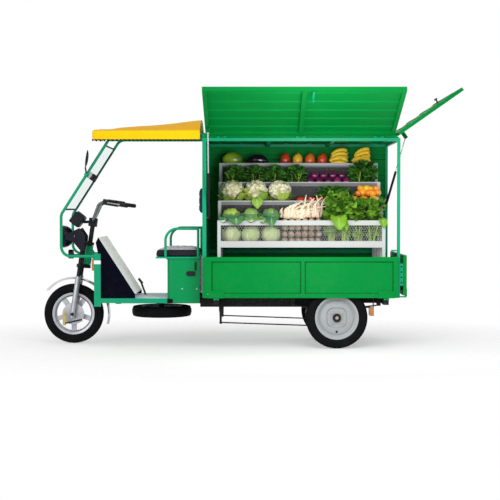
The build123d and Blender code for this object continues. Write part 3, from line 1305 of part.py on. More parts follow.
nodes["box_frame"] += [door_stud, stud_lug, flap_stud]

# Display rack: stepped side frames, a mesh-fronted tray and three shelves
step_y = [rack_front + i * step_depth for i in range(5)]
step_top = (
    tray_z[1], shelf_z[0] + shelf_lip, shelf_z[1] + shelf_lip, shelf_z[2] + shelf_lip,
    shelf_z[2] + shelf_lip
)
inner_x = (rack_x[0] + rack_post, rack_x[1] - rack_post)
end_x = ((rack_x[0], inner_x[0]), (inner_x[1], rack_x[1]))
rack = []
for x in end_x:
    for y, top in zip(step_y, step_top):
        low = y if y < step_y[-1] else y - rack_post
        rack.append(block(x, (low, low + rack_post), (bearer_z[1], top)))
nodes["floor_plates"] = [foot_plate, bed - rack]
tray_front = (rack_front, rack_front + rack_post)
tray_low = (tray_z[0], tray_z[0] + tray_rail_low)
tray_high = (tray_z[1] - tray_rail_high, tray_z[1])
rack += [block(inner_x, tray_front, z) for z in (tray_low, tray_high)]
tray_floor = tray_z[0] + 20
rack.append(block(inner_x, (tray_front[1], step_y[1]), (tray_floor, tray_floor + shelf_t)))
rack.append(block(inner_x, (step_y[1], step_y[1] + shelf_t), (tray_floor, tray_z[1])))
for i, z in enumerate(shelf_z):
    front, back = step_y[i + 1], step_y[i + 2]
    rack.append(block(inner_x, (front, front + shelf_t), (z + shelf_t, z + shelf_lip)))
    rack.append(block(inner_x, (front, back), (z, z + shelf_t)))
rack += [block(x, (tray_front[1], step_y[1]), tray_high) for x in end_x]
nodes["rack_frame"] = rack
mesh_t = 2.0
mesh_z = (tray_low[1], tray_high[0])
mesh_cols, mesh_rows, strand = 44, 4, 5.0
cell_w = (inner_x[1] - inner_x[0]) / mesh_cols
cell_h = (mesh_z[1] - mesh_z[0]) / mesh_rows
diamond = Polyline(
    (-cell_w / 2 + strand / 2, 0), (0, cell_h / 2 - strand / 2), (cell_w / 2 - strand / 2, 0),
    (0, strand / 2 - cell_h / 2), close=True
)
holes = [Pos(inner_x[0] + (i + 0.5) * cell_w, mesh_z[0] + (j + 0.5) * cell_h) * make_face(diamond)
         for i in range(mesh_cols) for j in range(mesh_rows)]
mesh_mid = ((inner_x[0] + inner_x[1]) / 2, (mesh_z[0] + mesh_z[1]) / 2)
net = Pos(*mesh_mid) * Rectangle(inner_x[1] - inner_x[0], mesh_z[1] - mesh_z[0]) - holes
nodes["rack_mesh"] = [extrude(Plane.XZ.offset(-rack_front - 8) * net, mesh_t)]


# Produce, resting on the tray and the shelves
tray_top = tray_floor + shelf_t + air
shelf_tops = [z + shelf_t + air for z in shelf_z]
shelf_mid = [(step_y[i] + step_y[i + 1] + shelf_t) / 2 for i in range(4)]
tray_mid = (tray_front[1] + step_y[1]) / 2


def egg(x, y, foot, rx, ry, rz):
    return Pos(x, y, foot + rz) * scale(Sphere(1), (rx, ry, rz))


def row(start, step, count):
    return [start + i * step for i in range(count)]


def spot(share):
    # A place along the tray or a shelf, as a share of its length
    return inner_x[0] + share * (inner_x[1] - inner_x[0])


cabbage_r, cabbage_top_r = 75.0, 67.0
cabbage_x = row(inner_x[0] + cabbage_r + 4, 2 * cabbage_r + 1, 3)
cabbage_rise = tray_top + 2 * cabbage_r + air
nodes["cabbages"] = []
for r, foot in ((cabbage_r, tray_top), (cabbage_top_r, cabbage_rise)):
    nodes["cabbages"] += [egg(x, tray_mid, foot, r, r, r) for x in cabbage_x]

curd_r = 84.0
collar_over = 9.0
collar_h = 98.0
curd_z = 100.0
collar_face = make_face(
    Polyline((0, 0), (36, 0), (curd_r, 28), (curd_r + collar_over, collar_h), (0, collar_h), close=True)
)
collar = revolve(Plane.XZ * collar_face, Axis.Z)
collar = collar - Pos(0, 0, curd_z) * scale(
    Sphere(1), (curd_r + air, curd_r + air, 0.86 * curd_r + air)
)
curd = Pos(0, 0, curd_z) * scale(Sphere(1), (curd_r, curd_r, 0.86 * curd_r))
nodes["cauliflowers"] = [
    Pos(x, shelf_mid[1], shelf_tops[0]) * s for x in row(spot(0.077), 190, 3) for s in (collar, curd)
]

fruit_r, fruit_step = 37.0, 77.0
fruit_y = (-44.0, 36.0)
tomatoes = [egg(x, shelf_mid[1] + y, shelf_tops[0], fruit_r, fruit_r, 0.85 * fruit_r)
            for x in row(spot(0.507), fruit_step, 3) for y in fruit_y]
oranges = [egg(x, shelf_mid[1] + y, shelf_tops[0], fruit_r, fruit_r, 0.97 * fruit_r)
           for x in row(spot(0.842), fruit_step, 3) for y in fruit_y]
mango_r = 45.0
mangoes = [
    egg(x, shelf_mid[3], shelf_tops[2], mango_r, 1.15 * mango_r, mango_r)
    for x in row(spot(0.414), 101, 4)
]
nodes["round_fruit"] = tomatoes + oranges + mangoes
onion_r = 34.0
nodes["onions"] = [egg(x, shelf_mid[2] + y, shelf_tops[1], onion_r, onion_r, 0.94 * onion_r)
                   for x in row(spot(0.572), 72, 5) for y in fruit_y]
melon = egg(spot(0.068), shelf_mid[3], shelf_tops[2], 80, 62, 56)
aubergine = egg(spot(0.23), shelf_mid[3], shelf_tops[2], 92, 42, 40)
nodes["melons"] = [melon, aubergine]

# Bananas: two hands of arched fingers, three on top of four
finger_r, finger_bend, finger_turn, finger_step = 17.0, 110.0, 80.0, 38.0
finger_path = CenterArc((0, 0), finger_bend, 90 - finger_turn / 2, finger_turn)
finger = Rot(90, 0, 0) * sweep(
    Plane(finger_path @ 0, z_dir=finger_path % 0) * Circle(finger_r), path=finger_path
)
finger_z = shelf_tops[2] - finger.bounding_box().min.Z
finger_y = step_y[3] + shelf_t + finger_r + 12
finger_end = finger_path @ 0
finger_reach = finger_bend + ((2 * finger_r + air) ** 2 - (finger_step / 2) ** 2) ** 0.5
finger_lift = (finger_reach ** 2 - finger_end.X ** 2) ** 0.5 - finger_end.Y
nodes["bananas"] = []
for x in (spot(0.767), spot(0.914)):
    lower = [Pos(x, y, finger_z) * finger for y in row(finger_y, finger_step, 4)]
    upper = [
        Pos(x, y + finger_step / 2, finger_z + finger_lift) * finger
        for y in row(finger_y, finger_step, 3)
    ]
    nodes["bananas"] += lower + upper

# Roots lie in tiers with their tips to the front, and the last tier stands on the one below
root_r, root_len, tip_r = 25.0, 165.0, 3.0
taper = root_len - root_r
standing_root = Cone(root_r, tip_r, taper, align=(Align.CENTER, Align.CENTER, Align.MIN)) + Sphere(root_r)
lying_root = Rot(90, 0, 0) * standing_root
root_step = 2 * root_r + 2
root_rise = 2 * root_r + air
root_tiers = 4
root_y = step_y[1] - root_r - 6
root_x = row(spot(0.4), root_step, 6)
roots = []
for tier in range(root_tiers + 1):
    root = lying_root if tier < root_tiers else standing_root
    roots += [Pos(x, root_y, tray_top + root_r + tier * root_rise) * root for x in root_x]
nodes["radishes"] = roots

bunch_y = 84.0
leaf_tray = [egg(x, tray_mid, tray_top, 54, bunch_y, 200) for x in row(spot(0.685), 109, 4)]
leaf_low = [egg(spot(0.712), shelf_mid[1], shelf_tops[0], 56, bunch_y, 70)]
leaf_high = [egg(x, shelf_mid[2], shelf_tops[1], 70, bunch_y, 66) for x in row(spot(0.084), 162, 4)]
leaf_end = [egg(spot(0.922), shelf_mid[2], shelf_tops[1], 62, bunch_y, 72)]
nodes["leafy_greens"] = leaf_tray + leaf_low + leaf_high + leaf_end

# Tail lamps on drop brackets under the tail of the bed
lamp_x = rear_axle_x + tyre_r + tyre_air
lamp_t, lamp_w = 30.0, 52.0
lamp_rise = (250.0, 316.0)
lamp_y = (-half_track - lamp_w + 18, -half_track + 18)
tail_lamp = fillet(block((lamp_x, lamp_x + lamp_t), lamp_y, lamp_rise).edges().filter_by(Axis.Y), 8)
lamp_stay = block((lamp_x + lamp_t, lamp_x + lamp_t + 4), lamp_y, (lamp_rise[0], bearer_z[1]))
nodes["marker_lamps"] += both_sides([tail_lamp])
nodes["chassis_frame"] += both_sides([lamp_stay])

# Shift so that the origin is on the ground under the middle of the whole, then write each node
everything = Compound(children=[s for group in nodes.values() for shape in group for s in shape.solids()])
box = everything.bounding_box()
origin = Vector((box.min.X + box.max.X) / 2, (box.min.Y + box.max.Y) / 2, box.min.Z)
os.makedirs("parts", exist_ok=True)
for name, group in nodes.items():
    solids = [Pos(*(origin * -1)) * s for shape in group for s in shape.solids()]
    export_step(Compound(children=solids), f"parts/{name}.step")
print(len(nodes), "nodes, origin at", [round(v, 3) for v in origin])
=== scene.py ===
import random
from math import asin, atan2, ceil, cos, exp, floor, hypot, pi, radians, sin, sqrt

import bmesh
import bpy
from mathutils import Matrix, Vector, noise


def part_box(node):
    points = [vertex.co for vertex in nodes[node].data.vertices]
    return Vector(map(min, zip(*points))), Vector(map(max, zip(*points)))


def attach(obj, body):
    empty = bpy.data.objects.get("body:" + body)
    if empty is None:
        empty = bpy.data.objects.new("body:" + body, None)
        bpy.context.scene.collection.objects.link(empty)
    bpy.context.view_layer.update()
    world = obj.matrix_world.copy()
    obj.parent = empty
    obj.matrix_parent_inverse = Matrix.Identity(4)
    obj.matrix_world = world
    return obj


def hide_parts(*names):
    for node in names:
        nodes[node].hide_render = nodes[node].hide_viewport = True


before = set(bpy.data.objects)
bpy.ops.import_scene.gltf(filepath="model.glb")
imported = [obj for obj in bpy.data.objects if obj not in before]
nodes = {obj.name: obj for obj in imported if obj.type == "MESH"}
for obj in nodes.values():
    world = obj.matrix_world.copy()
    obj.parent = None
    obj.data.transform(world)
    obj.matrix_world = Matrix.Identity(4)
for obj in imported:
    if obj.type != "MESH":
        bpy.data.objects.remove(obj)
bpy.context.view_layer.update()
print("frame loaded:", len(nodes), "nodes")

midY = 0.375018  # centre line of the vehicle in this frame
shiftX = 0.009122  # from the drawing's X to this frame's X
sideways = Vector((0, -1, 0))  # toward the serving side


def atDrawn(x, y, z):
    # a place given in the drawing's own X and Y
    return Vector((x + shiftX, midY + y, z))


class Wire:
    # a shader value; sums, differences, products and powers of it add Math nodes
    def __init__(self, look, socket):
        self.look = look
        self.socket = socket

    def __add__(self, other):
        return self.look.math("ADD", self, other)

    def __sub__(self, other):
        return self.look.math("SUBTRACT", self, other)

    def __rsub__(self, other):
        return self.look.math("SUBTRACT", other, self)

    def __mul__(self, other):
        return self.look.math("MULTIPLY", self, other)

    def __pow__(self, other):
        return self.look.math("POWER", self, other)

    def __rpow__(self, other):
        return self.look.math("POWER", other, self)

    __radd__ = __add__
    __rmul__ = __mul__


class Look:
    # one material and the nodes that feed its Principled shader
    def __init__(self, name, color, **constants):
        self.mat = bpy.data.materials.new(name)
        self.mat.use_nodes = True
        self.tree = self.mat.node_tree
        self.shader = self.tree.nodes["Principled BSDF"]
        self.shader.inputs["Base Color"].default_value = (*color, 1)
        for key, value in constants.items():
            self.shader.inputs[key.replace("_", " ")].default_value = value
        self.coords = self.axes = None

    def add(self, kind, sockets, output=0, stops=(), **settings):
        node = self.tree.nodes.new("ShaderNode" + kind)
        for key, value in settings.items():
            setattr(node, key, value)
        if stops:
            elements = node.color_ramp.elements
            while len(elements) < len(stops):
                elements.new(0.5)
            for element, (place, shade) in zip(elements, stops):
                element.position = place
                element.color = (*shade, 1)
        for key, value in sockets.items():
            target = node.inputs[key]
            if isinstance(value, Wire):
                self.tree.links.new(value.socket, target)
            else:
                target.default_value = value
        return Wire(self, node.outputs[output])

    def math(self, operation, *values):
        return self.add("Math", dict(enumerate(values)), operation=operation)

    def place(self):
        if self.coords is None:
            self.coords = self.add("TexCoord", {}, "Object")
        return self.coords

    def axis(self, letter):
        if self.axes is None:
            self.axes = self.add("SeparateXYZ", {0: self.place()}).socket.node
        return Wire(self, self.axes.outputs[letter])

    def stretched(self, scale):
        return self.add("Mapping", {"Vector": self.place(), "Scale": scale})

    def noise(self, scale, detail=3.0, rough=0.5, vector=None):
        sockets = {"Vector": vector or self.place(), "Scale": scale, "Detail": detail, "Roughness": rough}
        return self.add("TexNoise", sockets)

    def cells(self, scale, feature="F1"):
        return self.add("TexVoronoi", {"Vector": self.place(), "Scale": scale}, "Distance", feature=feature)

    def waves(self, scale, direction):
        sockets = {"Vector": self.place(), "Scale": scale, "Detail": 1.0}
        return self.add("TexWave", sockets, 1, bands_direction=direction)

    def fade(self, value, low, high, toLow=0.0, toHigh=1.0):
        sockets = {"Value": value, "From Min": low, "From Max": high, "To Min": toLow, "To Max": toHigh}
        return self.add("MapRange", sockets)

    def within(self, value, low, high, soft):
        return self.fade(value, low - soft, low) * self.fade(value, high + soft, high)

    def blend(self, share, first, second):
        first, second = (c if isinstance(c, Wire) else (*c, 1) for c in (first, second))
        return self.add("Mix", {0: share, 6: first, 7: second}, 2, data_type="RGBA")

    def attribute(self, name):
        return self.add("Attribute", {}, "Fac", attribute_name=name)

    def feed(self, name, value):
        self.tree.links.new(value.socket, self.shader.inputs[name])

    def paint(self, color):
        self.feed("Base Color", color)

    def painted(self):
        socket = self.shader.inputs["Base Color"]
        return Wire(self, socket.links[0].from_socket) if socket.links else socket.default_value[:3]

    def stain(self, value, low, high, color, share=1.0):
        # another colour over the one so far, where the value goes from low to high
        self.paint(self.blend(self.fade(value, low, high, 0.0, share), self.painted(), color))

    def dull(self, value, low, high, toLow, toHigh):
        self.feed("Roughness", self.fade(value, low, high, toLow, toHigh))

    def relief(self, height, strength, distance):
        self.feed("Normal", self.add("Bump", {"Height": height, "Strength": strength, "Distance": distance}))


def scaled(color, share, lift=0.0):
    return tuple(min(1, c * share + lift) for c in color)


def middle(node):
    low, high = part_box(node)
    return (low + high) / 2


def fromMiddle(look, node, letters):
    # offsets from the middle of a node along two axes, and the distance that they make
    centre = dict(zip("XYZ", middle(node)))
    first, second = (look.axis(letter) - centre[letter] for letter in letters)
    return first, second, look.math("SQRT", first ** 2.0 + second ** 2.0)


def paintedSheet(name, color, rough=0.42, dust=0.035, shine=0.035):
    look = Look(name, scaled(color, 0.92), Specular_IOR_Level=shine)
    cloudy = look.noise(1.7)
    speck = look.noise(38.0, 5.0, 0.7)
    low = look.fade(look.axis("Z"), 0.8, 0.25)
    grime = look.fade(speck + cloudy * 0.5, 0.7, 1.0) * (low * 0.8 + 0.2) * dust * 2.0
    look.stain(cloudy, 0.3, 0.7, scaled(color, 1.05))
    look.paint(look.blend(grime, look.painted(), (0.2, 0.19, 0.16)))
    look.feed("Roughness", look.fade(speck, 0.3, 0.8, rough - 0.06, rough + 0.12) + grime * 0.3)
    look.relief(look.noise(9.0, 2.0), 0.05, 0.004)
    return look


def rimPaint(name, color):
    # silver disc with a pressed ring of four lobes and a black hub cap; painted shade darkens the ring and the well
    look = paintedSheet(name, color, 0.36, 0.08, 0.2)
    across, upward, radius = fromMiddle(look, "near_rear_rim", "XZ")
    lobes = radius + look.math("COSINE", look.math("ARCTAN2", upward, across) * 4.0) * 0.005
    pressedRingShade = look.within(lobes, 0.078, 0.082, 0.004)
    rimWellShade = look.fade(radius, 0.118, 0.128) * look.fade(radius, 0.139, 0.131)
    # painted shade in the pressed ring and in the well of the rim
    look.stain(look.math("MAXIMUM", pressedRingShade * 0.45, rimWellShade * 0.3), 0.0, 1.0, scaled(color, 0.4))
    look.stain(radius, 0.0335, 0.032, (0.012, 0.012, 0.013))
    look.relief(look.fade(lobes, 0.074, 0.086), 0.8, 0.006)
    return look


def shelfPaint(name, color, lips, tray):
    # white rack: the shelf lips are greyer below their folded edge, and painted shade darkens the back of the tray
    # behind the net
    look = paintedSheet(name, color, 0.38, 0.02)
    height = look.axis("Z")
    bands = [look.within(height, low, edge, 0.001) for low, edge in lips]
    grey = bands.pop()
    for band in bands:
        grey = look.math("MAXIMUM", grey, band)
    low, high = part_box("rack_mesh")
    soft = 0.0005
    inside = look.within(look.axis("X"), low.x + soft, high.x - soft, soft)
    look.stain(grey * inside, 0.0, 1.0, (0.16, 0.16, 0.17), 0.85)
    # painted shade: the back of the tray is painted near black, as it lies in shadow behind the net
    paintedTrayShade = look.fade(look.axis("Y"), low.y + 0.12, low.y + 0.121) * look.within(height, *tray, 0.001)
    look.stain(paintedTrayShade * inside, 0.0, 1.0, (0.018, 0.018, 0.02))
    return look


def shieldPaint(name, color, paleLiningAndHighlight):
    # dark cheeks outside, pale lining on the rider's side, its near white partly a painted highlight
    look = paintedSheet(name, color, 0.3, 0.015, 0.03)
    aside = look.math("ABSOLUTE", look.axis("Y") - midY)
    look.stain(aside, 0.3068, 0.3062, paleLiningAndHighlight)
    return look


def bareMetal(name, color, rough=0.34, grain=0.2):
    look = Look(name, color, Metallic=1.0)
    patch = look.noise(14.0, 4.0)
    look.stain(patch, 0.35, 0.75, scaled(color, 0.78))
    look.dull(patch, 0.25, 0.8, rough - 0.05, rough + grain)
    look.relief(look.noise(320.0, 2.0) + patch * 3.0, 0.01, 0.001)
    return look


def mouldedPlastic(name, color, rough=0.7):
    look = Look(name, color, Specular_IOR_Level=0.2)
    patch = look.noise(11.0)
    look.stain(patch, 0.3, 0.75, scaled(color, 1.5, 0.003))
    look.dull(patch, 0.3, 0.8, rough - 0.08, rough + 0.12)
    look.relief(look.cells(420.0), 0.12, 0.001)
    return look


def tyreRubber(name, color, dusty):
    look = Look(name, color, Specular_IOR_Level=0.03)
    patch = look.noise(9.0, 5.0, 0.65)
    look.stain(patch, 0.5, 0.85, dusty, 0.3)
    look.dull(patch, 0.2, 0.8, 0.5, 0.72)
    look.relief(look.noise(260.0), 0.1, 0.002)
    return look


def spareRubber(name, color, dusty, rim):
    # the spare hangs flat: its rim shows inside the bead circle
    look = tyreRubber(name, color, dusty)
    look.stain(fromMiddle(look, "spare_tyre", "XY")[2], 0.1665, 0.1655, rim)
    return look


def clearPane(name, color, alpha, rough):
    look = Look(name, color, Roughness=rough, Alpha=alpha, IOR=1.45, Specular_IOR_Level=0.3)
    smear = look.noise(5.0, 4.0)
    look.dull(smear, 0.4, 0.8, rough, rough + 0.08)
    look.feed("Alpha", look.fade(smear, 0.3, 0.8, alpha - 0.02, alpha + 0.02))
    return look


def thinPane(name, color):
    look = Look(name, color, Transmission_Weight=1.0, IOR=1.12, Specular_IOR_Level=0.3)
    look.dull(look.noise(5.0, 4.0), 0.4, 0.8, 0.0, 0.012)
    return look


def lampPlastic(name, color):
    look = Look(name, color, Roughness=0.18, Coat_Weight=0.5)
    stripe = look.waves(240.0, "Z")
    look.stain(stripe, 0.0, 1.0, scaled(color, 0.55), 0.5)
    look.relief(stripe, 0.4, 0.002)
    return look


def vinyl(name, color):
    look = Look(name, color, Specular_IOR_Level=0.12)
    grain = look.cells(330.0, "DISTANCE_TO_EDGE")
    patch = look.noise(7.0)
    look.stain(patch, 0.35, 0.75, scaled(color, 1.35, 0.003))
    look.dull(patch, 0.3, 0.8, 0.36, 0.52)
    look.relief(look.fade(grain, 0.0, 0.12), 0.25, 0.0012)
    return look


def seatVinyl(name, color, paintedTopHighlight):
    # dark sides, and a painted highlight that makes the top pale
    look = vinyl(name, color)
    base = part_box("seat_cushion")[0].z
    look.stain(look.axis("Z"), base + 0.052, base + 0.055, paintedTopHighlight)
    return look


def perforatedSheet(name, hole, color):
    # near black with grey dots: partly the sheet's own dark grey, partly painted shade of the dark interior
    look = Look(name, hole, Roughness=0.5, Specular_IOR_Level=0.3)
    dots = look.fade(look.cells(85.0), 0.34, 0.22)
    look.stain(dots, 0.0, 1.0, color)
    look.relief(dots, 0.5, 0.002)
    return look


# Finishes: the nodes that wear each, how it is made and its settings
rubber = (0.006, 0.006, 0.007), (0.035, 0.033, 0.03)
recipes = {
    "panelGreen": ("box_panels side_door rear_flap drop_board tailgate", paintedSheet, (0.0005, 0.225, 0.038)),
    "tubeGreen": ("cab_frame seat_base box_frame door_latch", paintedSheet, (0.003, 0.32, 0.155), 0.34, 0.04, 0.14),
    "seatBoxGreen": ("seat_box", paintedSheet, (0.0005, 0.27, 0.08), 0.26, 0.02, 0.06),
    # dark green of the strips of painted shadow round the board recesses
    "beadGreen": ("", paintedSheet, (0.001, 0.07, 0.018), 0.6, 0.06),
    # the near-white lining colour is partly the lining's own and partly a painted highlight
    "navySheet": ("leg_shield", shieldPaint, (0.0015, 0.002, 0.008), (0.96, 0.96, 0.97)),
    "chassisBlack": ("steering_stem chassis_frame rear_axle leaf_springs brake_pedal brake_link brake_relay "
                     "brake_rods door_strut_tube flap_strut_tube", paintedSheet, (0.01, 0.01, 0.011), 0.5, 0.1, 0.12),
    # the last pair gives the heights of the tray back that is painted dark as painted shade
    "shelfWhite": ("rack_frame", shelfPaint, (0.53, 0.545, 0.54), ((1.094, 1.120), (1.243, 1.269), (1.400, 1.414)),
                   (0.787, 0.977)),
    "plateGrey": ("floor_plates", paintedSheet, (0.64, 0.72, 0.84), 0.45, 0.1),
    "rimSilver": ("near_rear_rim far_rear_rim", rimPaint, (0.34, 0.36, 0.37)),
    "castAlloy": ("front_rim fork_sliders near_brake_lever far_brake_lever", bareMetal, (0.42, 0.43, 0.46), 0.4),
    "darkChrome": ("handlebar", bareMetal, (0.2, 0.205, 0.22), 0.34, 0.1),
    "chromePlate": ("front_mudguard door_strut_rod flap_strut_rod", bareMetal, (0.66, 0.67, 0.69), 0.2, 0.1),
    "tyreRubber": ("", tyreRubber, *rubber),
    "spareRubber": ("spare_tyre", spareRubber, *rubber, (0.4, 0.41, 0.42)),
    "gripRubber": ("throttle_grip windshield_trim", mouldedPlastic, (0.01, 0.01, 0.012)),
    "blackPlastic": ("bar_controls instrument_pod mirror battery_pack flap_handle", mouldedPlastic,
                     (0.005, 0.0055, 0.009), 0.5),
    "slateBracket": ("headlamp", paintedSheet, (0.004, 0.005, 0.012), 0.3, 0.02, 0.2),
    "amberLamp": ("marker_lamps", lampPlastic, (0.48, 0.16, 0.012)),
    "windowPane": ("windshield", thinPane, (0.74, 0.84, 0.832)),
    "lampPane": ("headlamp_lens", clearPane, (0.75, 0.8, 0.84), 0.8, 0.05),
    "netSteel": ("", paintedSheet, (0.46, 0.47, 0.47), 0.4, 0.02),
    "brassPlate": ("", bareMetal, (0.5, 0.36, 0.12)),
    "nutSteel": ("", bareMetal, (0.42, 0.38, 0.34)),
    "reflector": ("", paintedSheet, (0.86, 0.88, 0.87), 0.3, 0.02),
    # the riser sheets: near black, partly painted shade
    "riserGrey": ("", perforatedSheet, (0.003, 0.003, 0.004), (0.1, 0.095, 0.1)),
    "barkBrown": ("", mouldedPlastic, (0.07, 0.04, 0.015)),
    # the pale second colour is a painted highlight on the seat top
    "blackVinyl": ("", seatVinyl, (0.008, 0.009, 0.014), (0.5, 0.5, 0.56)),
    "navyVinyl": ("", vinyl, (0.008, 0.013, 0.045)),
}
finish = {}
for name, (worn, maker, *settings) in recipes.items():
    finish[name] = maker(name, *settings)
    for node in worn.split():
        for slot in nodes[node].material_slots:
            slot.material = finish[name].mat
finish["seatBoxGreen"].shader.inputs["Coat Weight"].default_value = 0.12
finish["seatBoxGreen"].shader.inputs["Coat Roughness"].default_value = 0.14
print("made", len(finish), "finishes")


# Shapes made here start as a bmesh. Each vertex keeps its place on its own leaf or fruit for the shader.
def blank():
    bm = bmesh.new()
    for key in ("along", "across", "tint"):
        bm.verts.layers.float.new(key)
    return bm


def mark(bm, vert, *values):
    for key, value in zip(("along", "across", "tint"), values):
        vert[bm.verts.layers.float[key]] = value


def inSlot(verts, slot):
    for face in {f for v in verts for f in v.link_faces}:
        face.material_index = slot


def settle(name, bm, looks, body, replaced=(), smooth=True):
    bmesh.ops.recalc_face_normals(bm, faces=bm.faces)
    mesh = bpy.data.meshes.new(name)
    bm.to_mesh(mesh)
    bm.free()
    for look in looks.split():
        mesh.materials.append(finish[look].mat)
    if smooth:
        mesh.shade_smooth()
    piece = bpy.data.objects.new(name, mesh)
    bpy.context.collection.objects.link(piece)
    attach(piece, body)
    if replaced:
        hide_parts(*replaced)
    return piece


def drawnMesh(node):
    bm = bmesh.new()
    bm.from_mesh(nodes[node].data)
    bmesh.ops.remove_doubles(bm, verts=bm.verts, dist=1e-5)
    return bm


def itemBoxes(node):
    # centre and half size of every loose solid in a node of the frame
    bm = drawnMesh(node)
    left = set(bm.verts)
    boxes = []
    while left:
        group = [left.pop()]
        for vert in group:
            for edge in vert.link_edges:
                other = edge.other_vert(vert)
                if other in left:
                    left.discard(other)
                    group.append(other)
        low = Vector([min(v.co[i] for v in group) for i in range(3)])
        high = Vector([max(v.co[i] for v in group) for i in range(3)])
        boxes.append(((low + high) / 2, (high - low) / 2))
    bm.free()
    return sorted(boxes, key=lambda b: (round(b[0].z, 2), round(b[0].x, 3), b[0].y))


# Canopy: one sheet stretched over the bows, with a hanging valance cut into saw-teeth
canopy = {"teeth": 26, "toothRise": 0.018, "crown": (0.034, 0.112), "valance": 0.062, "inset": 0.003, "sag": 0.006,
          "crease": 0.0015, "ripple": 0.0009, "farHem": 0.044, "nearDrop": 0.024,
          "bows": (0.0, 0.03, 0.237, 0.983, 1.0), "rows": (0.2, 0.4, 0.6, 0.76, 1.0)}


def clothLook(name):
    # painted shade makes it darker on top; dirty in patches, and black along the hem
    look = Look(name, (0.86, 0.55, 0.0), Roughness=0.62, Specular_IOR_Level=0.12)
    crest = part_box("canopy")[1].z
    # painted shade: the arched top is painted a darker orange for the shade on it
    look.stain(look.axis("Z"), crest - 0.112, crest - 0.104, (0.7, 0.36, 0.0))
    look.stain(look.noise(5.0, 4.0), 0.45, 0.8, (0.66, 0.36, 0.005), 0.3)
    look.stain(look.attribute("tint"), 0.02, 0.1, (0.008, 0.008, 0.008))
    weave = look.waves(420.0, "X") + look.waves(420.0, "Z") + look.waves(420.0, "Y")
    look.relief(weave * 0.2 + look.noise(16.0), 0.25, 0.004)
    return look


def shapeCanopy():
    low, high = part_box("canopy")
    cells = 2 * canopy["teeth"]
    inset = canopy["inset"]
    half = (high.y - low.y) / 2 - inset
    front, back = low.x + inset, high.x - inset
    shoulder = low.z + canopy["valance"] - inset
    bows = canopy["bows"]
    bm = blank()
    bmesh.ops.create_grid(bm, x_segments=cells, y_segments=cells, size=0.5)
    column, outward = {}, {}
    for v in bm.verts:
        u, w = v.co.x + 0.5, v.co.y * 2
        crown = canopy["crown"][0] + (canopy["crown"][1] - canopy["crown"][0]) * u
        bowRound = (half * half + crown * crown) / (2 * crown)
        arch = sqrt(bowRound ** 2 - (w * half) ** 2) - bowRound + crown
        bay = max(i for i in range(len(bows) - 1) if bows[i] <= u + 1e-6)
        share = (u - bows[bay]) / (bows[bay + 1] - bows[bay])
        sag = canopy["sag"] * sin(pi * share) ** 2
        crease = canopy["crease"] * noise.noise(Vector((u * 6, w * 9, 2.0)))
        if abs(w) > 0.999:
            column[v], outward[v] = round(u * cells), Vector((0, 1 if w > 0 else -1, 0))
        elif u < 0.001:
            column[v], outward[v] = round((w + 1) / 2 * cells), Vector((-1, 0, 0))
        v.co = (front + u * (back - front), midY + w * half, shoulder + arch + (crease - sag) * (1 - w ** 4))
    tops = {v: v.co.z for v in column}
    rim = [e for e in bm.edges if e.is_boundary and all(v in column for v in e.verts)]
    rim = [e for e in rim if not all(abs(v.co.x - back) < 1e-4 for v in e.verts)]
    for share in canopy["rows"]:
        known = set(bm.verts)
        bmesh.ops.extrude_edge_only(bm, edges=rim)
        fresh = {v for v in bm.verts if v not in known}
        for v in fresh:
            above = next(e.other_vert(v) for e in v.link_edges if e.other_vert(v) in known)
            column[v], outward[v], tops[v] = column[above], outward[above], tops[above]
            lumps = 2.0 * noise.noise(Vector((column[v] * 0.21, 0.7, 0.0)))
            wave = 0.5 + 0.5 * sin(column[v] * 0.9 + lumps)
            aside = (v.co.y - midY) / half
            hem = low.z + inset + canopy["farHem"] * max(0.0, aside) ** 2 - canopy["nearDrop"] * max(0.0, -aside)
            v.co = above.co + outward[v] * canopy["ripple"] * wave
            v.co.z = tops[v] + (hem - tops[v]) * share
            if share == 1.0 and column[v] % 2:
                v.co.z += canopy["toothRise"]
            mark(bm, v, 0.0, 0.0, 1.0 if share == 1.0 else 0.0)
        rim = [e for e in bm.edges if e.is_boundary and all(v in fresh for v in e.verts)]
    area = sum(f.calc_area() for f in bm.faces)
    finish["canopyCloth"] = clothLook("canopyCloth")
    piece = settle("canopySheet", bm, "canopyCloth", "chassis", ["canopy"])
    wide = 2 * half + 2 * canopy["valance"]
    area / wide


shapeCanopy()
print("canopy stretched over its bows")


# Padded pieces: a cover blown up by cloth pressure over the drawn block, then sewn channels pressed in
sewing = {"shrink": 0.004, "pressure": 4.0, "frames": 20, "channel": 0.006, "seam": 0.004, "deep": 0.004,
          "seamShare": 0.6}
pads = {
    "seatPad": {"node": "seat_cushion", "body": "seat", "look": "blackVinyl", "voxel": 0.006, "cap": 0.009,
                "held": (2, 0.010), "channels": [(0, -0.55), (0, -0.27), (0, 0.03), (0, 0.35)], "side": 0.032},
    "backPad": {"node": "backrest_pad", "body": "chassis", "look": "navyVinyl", "voxel": 0.005, "cap": 0.008,
                "held": (0, -0.010), "channels": [(2, -0.3), (2, 0.3)], "side": 0.0},
}


def meshNow(piece):
    graph = bpy.context.evaluated_depsgraph_get()
    return bpy.data.meshes.new_from_object(piece.evaluated_get(graph))


